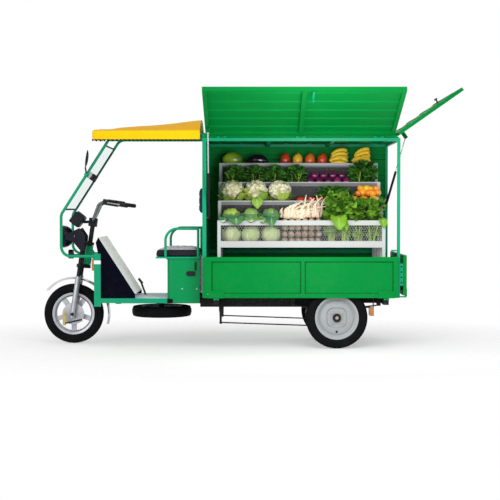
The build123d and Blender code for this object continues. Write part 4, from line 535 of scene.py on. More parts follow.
def shapePad(name, pad):
    low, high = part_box(pad["node"])
    mid, half = (low + high) / 2, (high - low) / 2
    bm = drawnMesh(pad["node"])
    for v in bm.verts:
        for i in range(3):
            v.co[i] = mid[i] + (v.co[i] - mid[i]) * (half[i] - sewing["shrink"]) / half[i]
    piece = settle(name, bm, pad["look"], pad["body"], [pad["node"]])
    remesh = piece.modifiers.new("evenMesh", "REMESH")
    remesh.mode = "VOXEL"
    remesh.voxel_size = pad["voxel"]
    even = meshNow(piece)
    piece.modifiers.clear()
    piece.data = even
    start = [v.co.copy() for v in even.vertices]
    axis, depth = pad["held"]
    edge = low[axis] + depth if depth > 0 else high[axis] + depth
    held = piece.vertex_groups.new(name="held")
    held.add([v.index for v in even.vertices if (v.co[axis] - edge) * depth < 0], 1.0, "REPLACE")
    cloth = piece.modifiers.new("cover", "CLOTH").settings
    cloth.use_pressure = True
    cloth.uniform_pressure_force = sewing["pressure"]
    cloth.vertex_group_mass = "held"
    cloth.effector_weights.gravity = 0.0
    for number in range(1, sewing["frames"] + 1):
        bpy.context.scene.frame_set(number)
    for v, b, s in zip(even.vertices, meshNow(piece).vertices, start):
        move = b.co - s
        v.co = s + move * min(1.0, pad["cap"] / max(move.length, 1e-9))
    piece.modifiers.clear()
    bpy.context.scene.frame_set(1)
    for v in even.vertices:
        press = 0.0
        for axis, share in pad["channels"]:
            away = (v.co[axis] - mid[axis]) - share * half[axis]
            press = max(press, exp(-(away / sewing["channel"]) ** 2))
        if pad["side"] and abs(v.normal.z) < 0.6:
            seam = (v.co.z - low.z - pad["side"]) / sewing["seam"]
            press = exp(-seam ** 2) * sewing["seamShare"]
        elif pad["side"] and v.normal.z < 0:
            press = 0.0
        v.co -= v.normal * sewing["deep"] * press
    soft = piece.modifiers.new("rounder", "SUBSURF")
    soft.levels = soft.render_levels = 1
    even.materials.clear()
    even.materials.append(finish[pad["look"]].mat)
    even.shade_smooth()
    print(name, "upholstered with", len(even.vertices), "points")


for name, pad in pads.items():
    shapePad(name, pad)


# Tyres: a profile turned about the axle, with gaps pressed between the tread blocks
tyre = {"steps": 120, "pitch": 4, "gap": 0.0006, "depth": 0.005, "shoulder": (0.0225, 0.0365), "sharp": 50,
        "profile": [(0.0335, 0.1523), (0.0335, 0.1663), (0.0375, 0.172), (0.0398, 0.1795), (0.0412, 0.1862),
                    (0.0420, 0.1876), (0.0410, 0.1892), (0.0420, 0.1975), (0.0414, 0.2085), (0.0400, 0.2180),
                    (0.0372, 0.2258), (0.0320, 0.2288), (0.0222, 0.2332), (0.0206, 0.2292), (0.0166, 0.2302),
                    (0.0150, 0.2348), (0.0036, 0.2358), (0.0024, 0.2312)],
        "wheels": {"near_rear_tyre": "near_wheel", "far_rear_tyre": "far_wheel", "front_tyre": "front_wheel"}}


def shapeTyre(node, body):
    side = [Vector((0, -y, r)) for y, r in tyre["profile"]]
    section = side + [Vector((0, -p.y, p.z)) for p in reversed(side)]
    bm = blank()
    verts = [bm.verts.new(p) for p in section]
    edges = [bm.edges.new((a, b)) for a, b in zip(verts, verts[1:] + verts[:1])]
    bmesh.ops.spin(bm, geom=verts + edges, cent=(0, 0, 0), axis=(0, 1, 0), angle=2 * pi, steps=tyre["steps"],
                   use_merge=True)
    gaps = []
    for face in bm.faces:
        mid = face.calc_center_median()
        turn = floor((atan2(mid.z, mid.x) / (2 * pi) + 1) * tyre["steps"]) % tyre["steps"]
        offset = 0 if mid.y < 0 else tyre["pitch"] // 2
        if tyre["shoulder"][0] < abs(mid.y) < tyre["shoulder"][1] and (turn + offset) % tyre["pitch"] == 0:
            gaps.append(face)
    bmesh.ops.recalc_face_normals(bm, faces=bm.faces)
    bmesh.ops.inset_region(bm, faces=gaps, thickness=tyre["gap"], depth=-tyre["depth"])
    bmesh.ops.translate(bm, verts=bm.verts, vec=middle(node))
    piece = settle(node.title().replace("_", ""), bm, "tyreRubber", body, [node])
    sharper = piece.modifiers.new("treadEdges", "EDGE_SPLIT")
    sharper.split_angle = radians(tyre["sharp"])


for node, body in tyre["wheels"].items():
    shapeTyre(node, body)
print("tyres turned")


# Small fastenings: hexagon nuts on the wheels and domed bolt heads on the sheets
def turned(at, toward):
    return Matrix.Translation(at) @ Vector((0, 0, 1)).rotation_difference(toward).to_matrix().to_4x4()


def bevel(bm, verts, offset, uprights=False):
    edges = {e for v in verts for e in v.link_edges}
    if uprights:
        edges = [e for e in edges if abs(e.verts[0].co.z - e.verts[1].co.z) > offset]
    bmesh.ops.bevel(bm, geom=list(edges), offset=offset, affect="EDGES", segments=2, profile=0.5, material=-1)


def addNut(bm, at, toward, radius, height):
    made = bmesh.ops.create_cone(bm, cap_ends=True, segments=6, radius1=radius, radius2=radius * 0.94, depth=height,
                                 matrix=turned(at + toward * height / 2, toward))
    bevel(bm, made["verts"], radius * 0.08)


def addBar(bm, low, high, edge, uprights=False):
    mid, size = (Vector(low) + Vector(high)) / 2, Vector(high) - Vector(low)
    made = bmesh.ops.create_cube(bm, size=1.0, matrix=Matrix.Translation(mid) @ Matrix.Diagonal((*size, 1)))
    bevel(bm, made["verts"], edge, uprights)


def addDome(bm, at, toward, radius):
    flatter = Matrix.Diagonal((1, 1, 0.5, 1))
    bmesh.ops.create_uvsphere(bm, u_segments=12, v_segments=8, radius=radius, matrix=turned(at, toward) @ flatter)


nuts = {"circle": 0.0525, "stud": (0.0125, 0.008), "sunk": 0.0155, "hub": (0.014, 0.007), "hubSunk": 0.001,
        "wheels": (("near_rear_rim", "near_wheel", sideways, 45), ("far_rear_rim", "far_wheel", -sideways, 0))}
for node, body, outward, turn in nuts["wheels"]:
    axle = middle(node)
    axle.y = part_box(node)[0 if outward.y < 0 else 1].y
    bm = blank()
    addNut(bm, axle - outward * nuts["hubSunk"], outward, *nuts["hub"])
    for i in range(4):
        angle = radians(turn + 90 * i)
        stud = axle + Vector((cos(angle), 0, sin(angle))) * nuts["circle"]
        addNut(bm, stud - outward * nuts["sunk"], outward, *nuts["stud"])
    settle(body + "Nuts", bm, "nutSteel", body, smooth=False)

bolts = {"board": 0.006, "fromEdge": (0.035, 0.085, -0.1, -0.05), "sunk": 0.0032, "height": 0.046,
         "seatBox": 0.008, "seatBoxAt": ((-0.522, -0.33, 0.449), (-0.407, -0.33, 0.449))}
bm = blank()
low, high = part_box("drop_board")
for step in bolts["fromEdge"]:
    x = (low.x if step > 0 else high.x) + step
    addDome(bm, Vector((x, low.y + bolts["sunk"], low.z + bolts["height"])), sideways, bolts["board"])
settle("boardBolts", bm, "nutSteel", "board")
bm = blank()
for at in bolts["seatBoxAt"]:
    addDome(bm, atDrawn(*at), sideways, bolts["seatBox"])
settle("seatBoxBolts", bm, "nutSteel", "chassis")

# Front brake: a brass adjuster, its arm on the fork leg and the nut of the axle
brake = {"plate": (-1.471, 0.150, -1.446, 0.252), "thick": 0.006, "nut": (0.011, 0.007), "fromEnd": 0.018,
         "arm": (-1.452, 0.166, -1.318, 0.196), "armHalf": (0.003, 0.006), "armProud": 0.010, "gap": 0.002,
         "axleNut": (0.015, 0.011)}
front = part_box("fork_sliders")[0].y - brake["gap"]
x0, z0, x1, z1 = brake["plate"]
bm = blank()
addBar(bm, (x0 + shiftX, front - brake["thick"], z0), (x1 + shiftX, front, z1), 0.002)
for z in (z0 + brake["fromEnd"], z1 - brake["fromEnd"]):
    addNut(bm, Vector(((x0 + x1) / 2 + shiftX, front - brake["thick"], z)), sideways, *brake["nut"])
settle("brakeAdjuster", bm, "brassPlate", "fork", smooth=False)
x0, z0, x1, z1 = brake["arm"]
half = Vector((hypot(x1 - x0, z1 - z0) / 2, *brake["armHalf"]))
bm = blank()
addBar(bm, -half, half, 0.0015)
place = Matrix.Translation(((x0 + x1) / 2 + shiftX, front - brake["armProud"], (z0 + z1) / 2))
place @= Matrix.Rotation(-atan2(z1 - z0, x1 - x0), 4, "Y")
bmesh.ops.transform(bm, matrix=place, verts=bm.verts)
axle = middle("front_tyre")
addNut(bm, Vector((axle.x, front, axle.z)), sideways, *brake["axleNut"])
settle("brakeArm", bm, "chassisBlack", "fork", smooth=False)

# Thin bars given by their corners in the drawing: reflective bands round the front pillars, a drip strip behind
# the door hinge and a closing strip over the far rail, and the dark sheets that close the steps of the rack.
# The sheets are partly painted shade.
bars = {
    "pillarBands": {"look": "reflector", "edge": 0.002, "uprights": True, "x": (-1.1988, -1.1472),
                    "yz": ((-0.3408, -0.3092, 0.640, 0.668), (0.3092, 0.3408, 0.640, 0.668))},
    "roofEdgeStrips": {"look": "panelGreen", "edge": 0.0006, "uprights": False, "x": (-0.331, 1.117),
                       "yz": ((-0.4475, -0.4445, 1.6002, 1.621), (0.4305, 0.4345, 1.6002, 1.6085))},
    "rackRisers": {"look": "riserGrey", "edge": 0.0003, "uprights": False, "x": (-0.2225, 1.0055),
                   "yz": ((-0.2145, -0.213, 0.9765, 1.0935), (-0.0095, -0.008, 1.0975, 1.2425),
                          (0.1955, 0.197, 1.2465, 1.3995))},
}
for name, bar in bars.items():
    bm = blank()
    for y0, y1, z0, z1 in bar["yz"]:
        addBar(bm, atDrawn(bar["x"][0], y0, z0), atDrawn(bar["x"][1], y1, z1), bar["edge"], bar["uprights"])
    settle(name, bm, bar["look"], "chassis", smooth=False)

# Painted shadow: thin dark green strips round the recessed sheets of the drop board, where the recesses cast shade
recessShadowStrips = {"bays": ((-0.291, 0.386), (0.414, 1.084)), "z": (0.424, 0.666), "wide": 0.0055, "y": (-0.4965, -0.4945)}
bm = blank()
wide, (low, high) = recessShadowStrips["wide"], recessShadowStrips["z"]
for left, right in recessShadowStrips["bays"]:
    for x0, x1, z0, z1 in ((left, left + wide, low, high), (right - wide, right, low, high),
                           (left, right, high - wide, high), (left, right, low, low + wide / 2)):
        addBar(bm, atDrawn(x0, recessShadowStrips["y"][0], z0), atDrawn(x1, recessShadowStrips["y"][1], z1), 0.0005)
settle("boardBeads", bm, "beadGreen", "board", smooth=False)

# Tray front: a hexagon net of thin wire in place of the drawn sheet with diamond holes
net = {"cell": 0.0188, "wire": 0.0021}
low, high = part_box("rack_mesh")
radius = net["cell"] / sqrt(3)
upright = Matrix.Rotation(pi / 2, 4, "X")
bm = blank()
for row in range(ceil((high.z - low.z) / (1.5 * radius)) + 1):
    for col in range(ceil((high.x - low.x) / net["cell"]) + 1):
        at = Matrix.Translation((low.x + (col + 0.5 * (row % 2)) * net["cell"], (low.y + high.y) / 2,
                                 low.z + row * 1.5 * radius))
        bmesh.ops.create_circle(bm, cap_ends=True, segments=6, radius=radius, matrix=at @ upright)
bmesh.ops.remove_doubles(bm, verts=bm.verts, dist=0.0005)
for corner, outward in ((low, (-1, 0, 0)), (low, (0, 0, -1)), (high, (1, 0, 0)), (high, (0, 0, 1))):
    everything = bm.verts[:] + bm.edges[:] + bm.faces[:]
    bmesh.ops.bisect_plane(bm, geom=everything, plane_co=corner, plane_no=outward, clear_outer=True)
bmesh.ops.wireframe(bm, faces=bm.faces, thickness=net["wire"], use_replace=True, use_boundary=True,
                    use_even_offset=True)
settle("trayNet", bm, "netSteel", "chassis", ["rack_mesh"], smooth=False)
print("fastenings, bands, strips and net fitted")


# Produce: every leaf, fruit and root is shaped on the place of its drawn solid.
# A leaf form has its cup, its ruffle, where it is broadest and the cells of its grid.
leafForms = {"cabbage": (0.12, 0.08, 1.35, (9, 6)), "cauliflower": (0.1, 0.05, 1.3, (9, 6)),
             "calyx": (0.1, 0.0, 0.8, (4, 2)), "aubergineCap": (-0.2, 0.0, 0.9, (5, 3)),
             "lettuce": (0.14, 0.05, 1.15, (7, 4)), "herb": (0.18, 0.08, 1.5, (5, 3)),
             "overhang": (0.1, 0.05, 1.15, (12, 6)), "loose": (0.12, 0.08, 1.2, (6, 4))}


def addSurface(bm, cells, spot, tint, slot, across=None):
    # a grid bent to spot(t, s), with t from 0 to 1 along it and s from -1 to 1 across
    made = bmesh.ops.create_grid(bm, x_segments=cells[0], y_segments=cells[1], size=0.5)["verts"]
    for v in made:
        t, s = v.co.x + 0.5, v.co.y * 2
        mark(bm, v, t, abs(s) if across is None else across, tint)
        v.co = spot(t, s)
    inSlot(made, slot)
    return made


def addLeaf(bm, place, length, width, bend, form, tint, slot=0):
    cup, ruffle, broad, cells = leafForms[form]

    def spot(t, s):
        angle = bend * t
        half = 0.5 * width * max(0.03, sin(pi * min(0.985, 0.02 + t) ** broad)) ** 0.65
        lift = width * s * s * (cup + ruffle * sin(17 * t + 3 * s + 40 * tint))
        return place @ Vector((length * sin(angle) / bend - lift * sin(angle), s * half,
                               length * (1 - cos(angle)) / bend + lift * cos(angle)))

    addSurface(bm, cells, spot, tint, slot)


def aimed(at, yaw, pitch, roll=0.0):
    turn = Matrix.Rotation(yaw, 4, "Z") @ Matrix.Rotation(-pitch, 4, "Y") @ Matrix.Rotation(roll, 4, "X")
    return Matrix.Translation(at) @ turn


def hangLeaves(bm, front, rows, form, slot=0):
    # leaves over the edge of a shelf whose front lies at this Y
    for x, back, z, yaw, pitch, length, width, bend, tint in rows:
        place = aimed(Vector((x + shiftX, front + back, z)), yaw, pitch)
        addLeaf(bm, place, length, width, bend, form, tint, slot)


def wrapLeaf(bm, centre, half, yaw, low, high, spread, flare, tint, slot=0):
    def spot(t, s):
        rise = low + (high - low) * t
        side = yaw + s * spread * (0.45 + 0.55 * sin(pi * min(1.0, 0.15 + 0.75 * t)))
        edge = max(0.0, t - 0.5) * 2
        out = 1 + flare * edge * edge + flare * 0.3 * abs(s) ** 3 + 0.03 * edge * sin(8 * s + 9 * yaw)
        ray = Vector((cos(rise) * cos(side), cos(rise) * sin(side), sin(rise)))
        return centre + ray * half * out

    addSurface(bm, (9, 8), spot, tint, slot)


def addRound(bm, centre, half, tint, shape=lambda along, turn: 1.0, cells=(20, 12), slot=0, across=None):
    made = bmesh.ops.create_uvsphere(bm, u_segments=cells[0], v_segments=cells[1], radius=1.0)["verts"]
    for v in made:
        ray = v.co.copy()
        along = 0.5 + 0.5 * ray.z
        mark(bm, v, along, 0.5 + 0.5 * ray.x if across is None else across, tint)
        v.co = centre + ray * half * shape(along, atan2(ray.y, ray.x))
    inSlot(made, slot)


def addTube(bm, path, radius, tint=0.5, cells=(16, 10), slot=0, aside=Vector((0, 1, 0))):
    def spot(t, s):
        turn = (s + 1) * pi
        ahead = (path(t + 0.01) - path(t - 0.01)).normalized()
        right = ahead.cross(aside).normalized()
        return path(t) + (right * cos(turn) + right.cross(ahead) * sin(turn)) * radius(t, turn)

    made = addSurface(bm, cells, spot, tint, slot, 0.5)
    bmesh.ops.remove_doubles(bm, verts=made, dist=1e-5)


def leafLook(name, deep, fresh, rib):
    look = Look(name, deep, Specular_IOR_Level=0.25)
    along, across, tint = look.attribute("along"), look.attribute("across"), look.attribute("tint")
    spine = look.fade(across, 0.13, 0.03) * look.fade(along, 1.0, 0.55)
    stripes = look.math("SINE", (along * 5.0 - across * 1.6) * 9.0)
    veins = look.fade(stripes, 0.75, 1.0) * look.fade(across, 0.95, 0.5)
    patch = look.noise(34.0)
    look.stain(tint + (patch - 0.5) * 0.5, 0.05, 0.95, fresh)
    look.stain(along, 0.25, 1.0, scaled(deep, 0.8), 0.3)
    look.stain(look.math("MAXIMUM", spine * 0.8, veins * 0.3), 0.0, 1.0, rib)
    look.dull(patch, 0.3, 0.8, 0.34, 0.56)
    look.relief(veins * -0.6 + look.noise(60.0), 0.35, 0.003)
    return look


def curdLook(name, light, cream, deep):
    look = Look(name, light, Roughness=0.7)
    fine = look.cells(260.0)
    look.stain(fine, 0.1, 0.7, cream)
    look.stain(look.attribute("across"), 0.35, 0.85, deep)
    look.relief(fine * -1.0, 0.6, 0.004)
    return look


def fruitLook(name, stops, rough, pores=0.0, streak=(1, 1, 1), coat=0.3):
    look = Look(name, stops[0][1], Coat_Weight=coat, Coat_Roughness=0.15)
    patch = look.noise(26.0, vector=look.stretched(streak))
    tone = look.attribute("tint") + (patch - 0.5) * 0.36 + (look.attribute("along") - 0.5) * 0.14
    look.paint(look.add("ValToRGB", {0: tone}, stops=stops))
    look.dull(patch, 0.3, 0.8, rough - 0.06, rough + 0.12)
    look.relief(look.cells(520.0) * pores + look.noise(120.0, 2.0) * 0.3, 0.3, 0.002)
    return look


def bananaLook(name, ripe, fleck, unripe, tip):
    look = Look(name, ripe, Coat_Weight=0.1)
    along = look.attribute("along")
    flecks = look.noise(70.0, 4.0, vector=look.stretched((0.35, 1, 1)))
    look.stain(flecks, 0.62, 0.72, fleck)
    look.stain(along, 0.75, 0.95, unripe)
    look.stain(along, 0.07, 0.02, tip)
    look.stain(along, 0.95, 0.99, tip)
    look.dull(flecks, 0.3, 0.8, 0.38, 0.55)
    look.relief(look.noise(90.0, 2.0), 0.15, 0.002)
    return look


def rootLook(name, pale, rosy, earthy, end):
    look = Look(name, pale)
    skin = look.noise(40.0, 4.0, vector=look.stretched((1, 1, 2.5)))
    look.stain(look.attribute("tint"), 0.0, 1.0, rosy)
    look.stain(skin, 0.52, 0.75, earthy, 0.7)
    look.stain(look.attribute("along"), 0.55, 1.0, end, 0.35)
    look.dull(skin, 0.3, 0.8, 0.42, 0.6)
    look.relief(skin, 0.4, 0.003)
    return look


skins = {
    "cabbageLeaf": (leafLook, (0.035, 0.2, 0.1), (0.5, 0.62, 0.07), (0.62, 0.72, 0.4)),
    # the back row's leaves: partly their own pale colour, partly painted light against the shade behind the rail
    "paleCabbage": (leafLook, (0.36, 0.5, 0.16), (0.76, 0.83, 0.45), (0.85, 0.88, 0.6)),
    "cauliLeaf": (leafLook, (0.2, 0.44, 0.05), (0.55, 0.68, 0.1), (0.75, 0.78, 0.42)),
    "brightLeaf": (leafLook, (0.03, 0.17, 0.012), (0.26, 0.5, 0.03), (0.4, 0.56, 0.16)),
    "herbLeaf": (leafLook, (0.004, 0.04, 0.006), (0.1, 0.38, 0.04), (0.3, 0.45, 0.12)),
    "cauliCurd": (curdLook, (0.98, 0.97, 0.88), (0.93, 0.91, 0.72), (0.5, 0.42, 0.16)),
    "fruitSkin": (fruitLook, [(0.0, (0.5, 0.012, 0.006)), (0.33, (0.78, 0.09, 0.012)), (0.68, (0.9, 0.33, 0.02)),
                              (1.0, (0.93, 0.55, 0.03))], 0.28, 0.6),
    "onionSkin": (fruitLook, [(0.0, (0.06, 0.004, 0.03)), (0.5, (0.16, 0.01, 0.08)), (1.0, (0.4, 0.05, 0.2))],
                  0.22, 0.0, (2.2, 2.2, 0.25), 0.5),
    # the melon's ramp spans its painted lit left side to its painted shaded right side
    "melonSkin": (fruitLook, [(0.0, (0.5, 0.6, 0.05)), (0.45, (0.3, 0.46, 0.03)), (1.0, (0.03, 0.12, 0.015))],
                  0.25, 0.2, (0.2, 1.6, 1.6)),
    "aubergineSkin": (fruitLook, [(0.0, (0.006, 0.003, 0.008)), (1.0, (0.022, 0.008, 0.026))], 0.16),
    "bananaSkin": (bananaLook, (0.9, 0.58, 0.02), (0.35, 0.17, 0.02), (0.55, 0.5, 0.05), (0.06, 0.03, 0.01)),
    "rootSkin": (rootLook, (0.84, 0.74, 0.56), (0.78, 0.5, 0.4), (0.55, 0.36, 0.22), (0.86, 0.78, 0.62)),
}
finish.update({name: maker(name, *settings) for name, (maker, *settings) in skins.items()})
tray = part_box("rack_mesh")[0].y - 0.006  # just before the front of the tray


def settleProduce(name, bm, looks, node):
    piece = settle(name, bm, looks, "chassis", [node])
    print(name, "laid out with", len(piece.data.polygons), "faces")


# Cabbages: a pale row behind the net, painted paler still as painted light,
# and a green row on the tray with loose leaves over its edge
cabbage = {"tints": ((0.85, 0.6, 0.75), (0.97, 0.62, 0.4)), "at": (0.062, 0.992), "pitch": 0.35, "bend": -1.7,
           "hanging": ((-0.175, -1.9, 0.09, 0.1, 0.08), (-0.11, -1.5, 0.13, 0.13, 0.15),
                       (0.02, -1.7, 0.085, 0.11, 0.35), (0.125, -1.9, 0.1, 0.09, 0.3),
                       (0.16, -1.52, 0.15, 0.075, 0.12))}
bm = blank()
for n, (at, half) in enumerate(itemBoxes("cabbages")):
    tier, place = divmod(n, 3)
    tint, slot = cabbage["tints"][tier][place], 1 - tier
    addRound(bm, at, half * 0.87, tint, across=0.6, slot=slot)
    for i in range(6):
        wrapLeaf(bm, at, half * (0.885 + 0.018 * i), 2.4 * i + n, -1.3, 1.3 - 0.2 * i, 0.95, 0.03 + 0.02 * i,
                 tint - 0.05 * i, slot)
    for i in range(5 * tier):
        wrapLeaf(bm, at, half, 1.26 * i - 1.9 + 0.3 * place, -1.2, 0.15 + 0.1 * (i % 2), 0.75, 0.3, 0.22 - 0.04 * i)
hangLeaves(bm, tray, [(x, *cabbage["at"], yaw, cabbage["pitch"], length, width, cabbage["bend"], tint)
                      for x, yaw, length, width, tint in cabbage["hanging"]], "cabbage")
settleProduce("cabbageHeads", bm, "cabbageLeaf paleCabbage", "cabbages")

# Cauliflowers: lumpy heads in a ring of leaves
cauliflower = {"headHalf": 0.055, "grow": 1.12, "lumps": (2.9, 0.2), "crumbs": (8.0, 0.09),
               "tops": (-0.35, -0.6, -0.1, -0.5, -0.25, -0.7), "tints": (0.8, 0.45, 0.95, 0.6, 0.3),
               "hanging": ((0.05, 0.05, 1.146, -1.5, 0.2, 0.135, 0.085, -1.9, 0.35),
                           (0.125, 0.06, 1.15, -2.2, 0.9, 0.12, 0.07, -0.9, 0.7),
                           (-0.01, 0.06, 1.16, -2.4, 1.0, 0.11, 0.07, -0.8, 0.9))}
bm = blank()
heads = [b for b in itemBoxes("cauliflowers") if b[1].z > cauliflower["headHalf"]]
for n, (at, half) in enumerate(sorted(heads, key=lambda b: b[0].x)):
    at, half = at + Vector((-0.008 - 0.006 * n, -0.012, 0.014)), half * cauliflower["grow"]
    made = bmesh.ops.create_icosphere(bm, subdivisions=5, radius=1.0)["verts"]
    for v in made:
        ray = v.co.normalized()
        lump = noise.voronoi(ray * cauliflower["lumps"][0] + Vector((n * 3.1, 0, 0)))[0][0]
        crumb = noise.voronoi(ray * cauliflower["crumbs"][0] + Vector((0, n * 2.3, 0)))[0][0]
        mark(bm, v, 0.5 + 0.5 * ray.z, min(1.0, 0.75 * lump + 0.5 * crumb), 0.5)
        v.co = at + ray * half * (1.07 - cauliflower["lumps"][1] * lump - cauliflower["crumbs"][1] * crumb)
    inSlot(made, 0)
    for i in range(9):
        wrapLeaf(bm, at - Vector((0, 0, 0.012)), half * (1.03 + 0.02 * (i % 3)), 0.7 * i + 0.4 * n, -1.25,
                 cauliflower["tops"][(i + n) % 6], 0.5, 0.2, cauliflower["tints"][(i + 2 * n) % 5], 1)
hangLeaves(bm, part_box("rack_frame")[0].y + 0.205, cauliflower["hanging"], "cauliflower", 1)
settleProduce("cauliflowerHeads", bm, "cauliCurd cauliLeaf", "cauliflowers")

# Round fruit: mangoes on the top shelf, a heap of oranges, and tomatoes
fruit = {"shelf": 1.3, "mango": Vector((0.042, 0.042, 0.063)), "mangoTints": (0.1, 0.9, 0.42, 0.2),
         "mangoX": (0.2859, 0.101), "orange": Vector((0.027, 0.027, 0.026)), "orangesFrom": 0.75,
         "heap": (0.85, 1.187), "row": 5, "pitch": (0.037, 0.019, 0.036)}


def orangeHeap(drawn, chance):
    front = min(at.y for at, half in drawn if at.z < fruit["shelf"]) + 0.012
    for i in range(9):
        row, col = divmod(i, fruit["row"])
        x = fruit["heap"][0] + fruit["pitch"][0] * col + fruit["pitch"][1] * row + chance.uniform(-0.007, 0.007)
        y = front + chance.uniform(0.0, 0.03)
        z = fruit["heap"][1] + fruit["pitch"][2] * row + chance.uniform(-0.006, 0.006)
        yield Vector((x + shiftX, y, z)), fruit["orange"] * chance.uniform(0.88, 1.06)


bm = blank()
chance = random.Random(4)
drawn = itemBoxes("round_fruit")
for at, half in drawn + list(orangeHeap(drawn, chance)):
    if at.z > fruit["shelf"]:
        tint = fruit["mangoTints"][round((at.x - shiftX - fruit["mangoX"][0]) / fruit["mangoX"][1])]
        at, half = at + Vector((0, 0, 0.062 - half.z)), fruit["mango"]
        addRound(bm, at, half, tint, lambda a, t: 1.02 - 0.2 * a ** 3 + 0.06 * cos(t) * a)
        top = at + Vector((0, 0, half.z * 0.84))
        addTube(bm, lambda t: top + Vector((0, 0, 0.014 * t)), lambda t, turn: 0.003, 0.3, (3, 6), 1)
    elif at.x > fruit["orangesFrom"]:
        addRound(bm, at, half, 0.55 + 0.35 * chance.random(),
                 lambda a, t: 1.01 - 0.12 * exp(-((1 - a) / 0.03) ** 2))
        addRound(bm, at + Vector((0, 0, half.z * 0.9)), Vector((0.005, 0.005, 0.002)), 0.4, cells=(8, 4), slot=1)
    else:
        addRound(bm, at, half, 0.02 + 0.1 * chance.random(),
                 lambda a, t: 1.01 + 0.02 * cos(5 * t) * a - 0.16 * exp(-((1 - a) / 0.05) ** 2))
        for i in range(5):
            place = aimed(at + Vector((0, 0, half.z * 0.86)), 1.257 * i + at.x * 9, 0.3)
            addLeaf(bm, place, 0.026, 0.009, -0.7, "calyx", 0.5, 1)
settleProduce("roundFruit", bm, "fruitSkin herbLeaf", "round_fruit")

# Onions: a second layer lies in the gaps of the drawn one
onion = {"step": Vector((0.036, 0.004, 0.05)), "upper": 0.97}
bm = blank()
chance = random.Random(8)
lower = itemBoxes("onions")
ends = max(at.x for at, half in lower) - 0.01
heap = [(at + onion["step"], half * onion["upper"]) for at, half in lower if at.x < ends]
for at, half in lower + heap:
    addRound(bm, at, half, 0.2 + 0.5 * chance.random(), lambda a, t: 1.0 + 0.28 * exp(-((1 - a) / 0.035) ** 2))
settleProduce("redOnions", bm, "onionSkin", "onions")

# Melon and aubergine, each raised and grown a little from its drawn solid
melons = {"rise": (Vector((0, 0, 0.007)), Vector((0, 0, 0.012))),
          "grow": (Vector((0.006, 0, 0.007)), Vector((0, 0.01, 0.012))),
          "droop": 0.012, "arch": 0.02, "capLeaf": (0.05, 0.024, 0.5), "capOut": 0.012}
bm = blank()
boxes = sorted(itemBoxes("melons"), key=lambda b: b[0].x)
melon, aubergine = ((at + rise, half + grow)
                    for (at, half), rise, grow in zip(boxes, melons["rise"], melons["grow"]))
at, half = melon
addRound(bm, at, half, 0.5, cells=(28, 18))
# painted light and shade: the melon runs from yellow-green on its lit left side to dark green on its shaded right
for v in bm.verts:
    v[bm.verts.layers.float["tint"]] = 0.5 + 0.5 * (v.co.x - at.x) / half.x
at, half = aubergine
addTube(bm, lambda t: at + Vector(((2 * t - 1) * half.x * 0.97, 0, melons["arch"] * sin(pi * t) - melons["droop"])),
        lambda t, turn: half.z * 0.99 * sin(pi * min(0.997, 0.003 + t)) ** 0.45 * (0.72 + 0.28 * t),
        cells=(16, 16), slot=1)
end = at + Vector((-half.x * 0.9, 0, -0.004))
for i in range(5):
    place = aimed(end, 0.0, 0.0, 1.257 * i) @ Matrix.Translation((0, 0, melons["capOut"]))
    addLeaf(bm, place, *melons["capLeaf"], "aubergineCap", 0.6, 2)
settleProduce("melonAndAubergine", bm, "melonSkin aubergineSkin herbLeaf", "melons")

# Bananas: the drawn fingers and five more heaped on each hand
banana = {"bend": 0.11, "thick": 0.0172, "parting": 0.82, "turn": (1.56, 1.4),
          "hands": ((1, 0.729, 0.12), (-1, 0.909, 0.3)),
          "more": ((-0.034, 0.006), (-0.004, 0.016), (-0.02, 0.036), (0.012, 0.043), (-0.008, 0.062))}


def addFinger(bm, top, facing, turn, tilt=0.0):
    lean = Matrix.Rotation(-tilt, 3, "Y")

    def spine(t):
        angle = (t - 0.5) * turn
        return top + lean @ Vector((facing * sin(angle), 0, cos(angle) - 1)) * banana["bend"]

    def girth(t, around):
        ends = min(1.0, 0.25 + 6.5 * max(0.0, t)) * min(1.0, 0.34 + 4.2 * max(0.0, 1 - t))
        return banana["thick"] * (1 + 0.04 * cos(5 * around)) * ends

    addTube(bm, spine, girth)


bm = blank()
boxes = itemBoxes("bananas")
for at, half in boxes:
    top = Vector((at.x, at.y, at.z + half.z - banana["thick"]))
    addFinger(bm, top, 1 if at.x < banana["parting"] else -1, banana["turn"][0])
for facing, x, tilt in banana["hands"]:
    group = [b for b in boxes if abs(b[0].x - x) < 0.09]
    centre = sum(b[0].y for b in group) / len(group)
    foot = Vector((x + facing * 0.078, centre, min(b[0].z for b in group)))
    addTube(bm, lambda t: foot + Vector((facing * 0.02 * t, 0, -0.012 * t)), lambda t, a: 0.02 * (1 - 0.55 * t),
            cells=(4, 8), slot=1)
    crest = max(b[0].z + b[1].z for b in group) - banana["thick"]
    for i, (aside, rise) in enumerate(banana["more"]):
        top = Vector((x + 0.008 * (i % 2), centre + aside, crest + rise))
        addFinger(bm, top, facing, banana["turn"][1], tilt + 0.05 * i)
settleProduce("bananaHands", bm, "bananaSkin barkBrown", "bananas")

# Roots: a lying layer behind the net, and fans of lean, height and thickness over the drawn upright ones
root = {"lying": 0.0255, "aside": Vector((1, 0.1, 0.05)), "heaps": 3, "heapBack": 0.03,
        "heap": ((0.05, 0.66, 0.022), (0.085, 0.8, 0.018), (0.13, 0.62, 0.016), (0.0, 0.44, 0.021),
                 (0.1, 0.38, 0.019)),
        "sheaf": ((0.0, 1.06, 0.017), (-0.035, 0.9, 0.014), (0.036, 0.98, 0.013), (0.018, 0.7, 0.016),
                  (-0.012, 0.55, 0.018))}
bm = blank()
chance = random.Random(21)


def addRoot(start, reach, sway, thick):
    addTube(bm, lambda t: start + reach * t + sway * t * t + sway * 0.3 * sin(7 * t),
            lambda t, a: thick * min(1.0, (max(0.0, t) * 9) ** 0.5) * (1 - 0.86 * max(0.0, t) ** 1.9) *
            (1 + 0.03 * sin(31 * t + a)), 0.8 * chance.random(), (14, 10), 0, root["aside"])


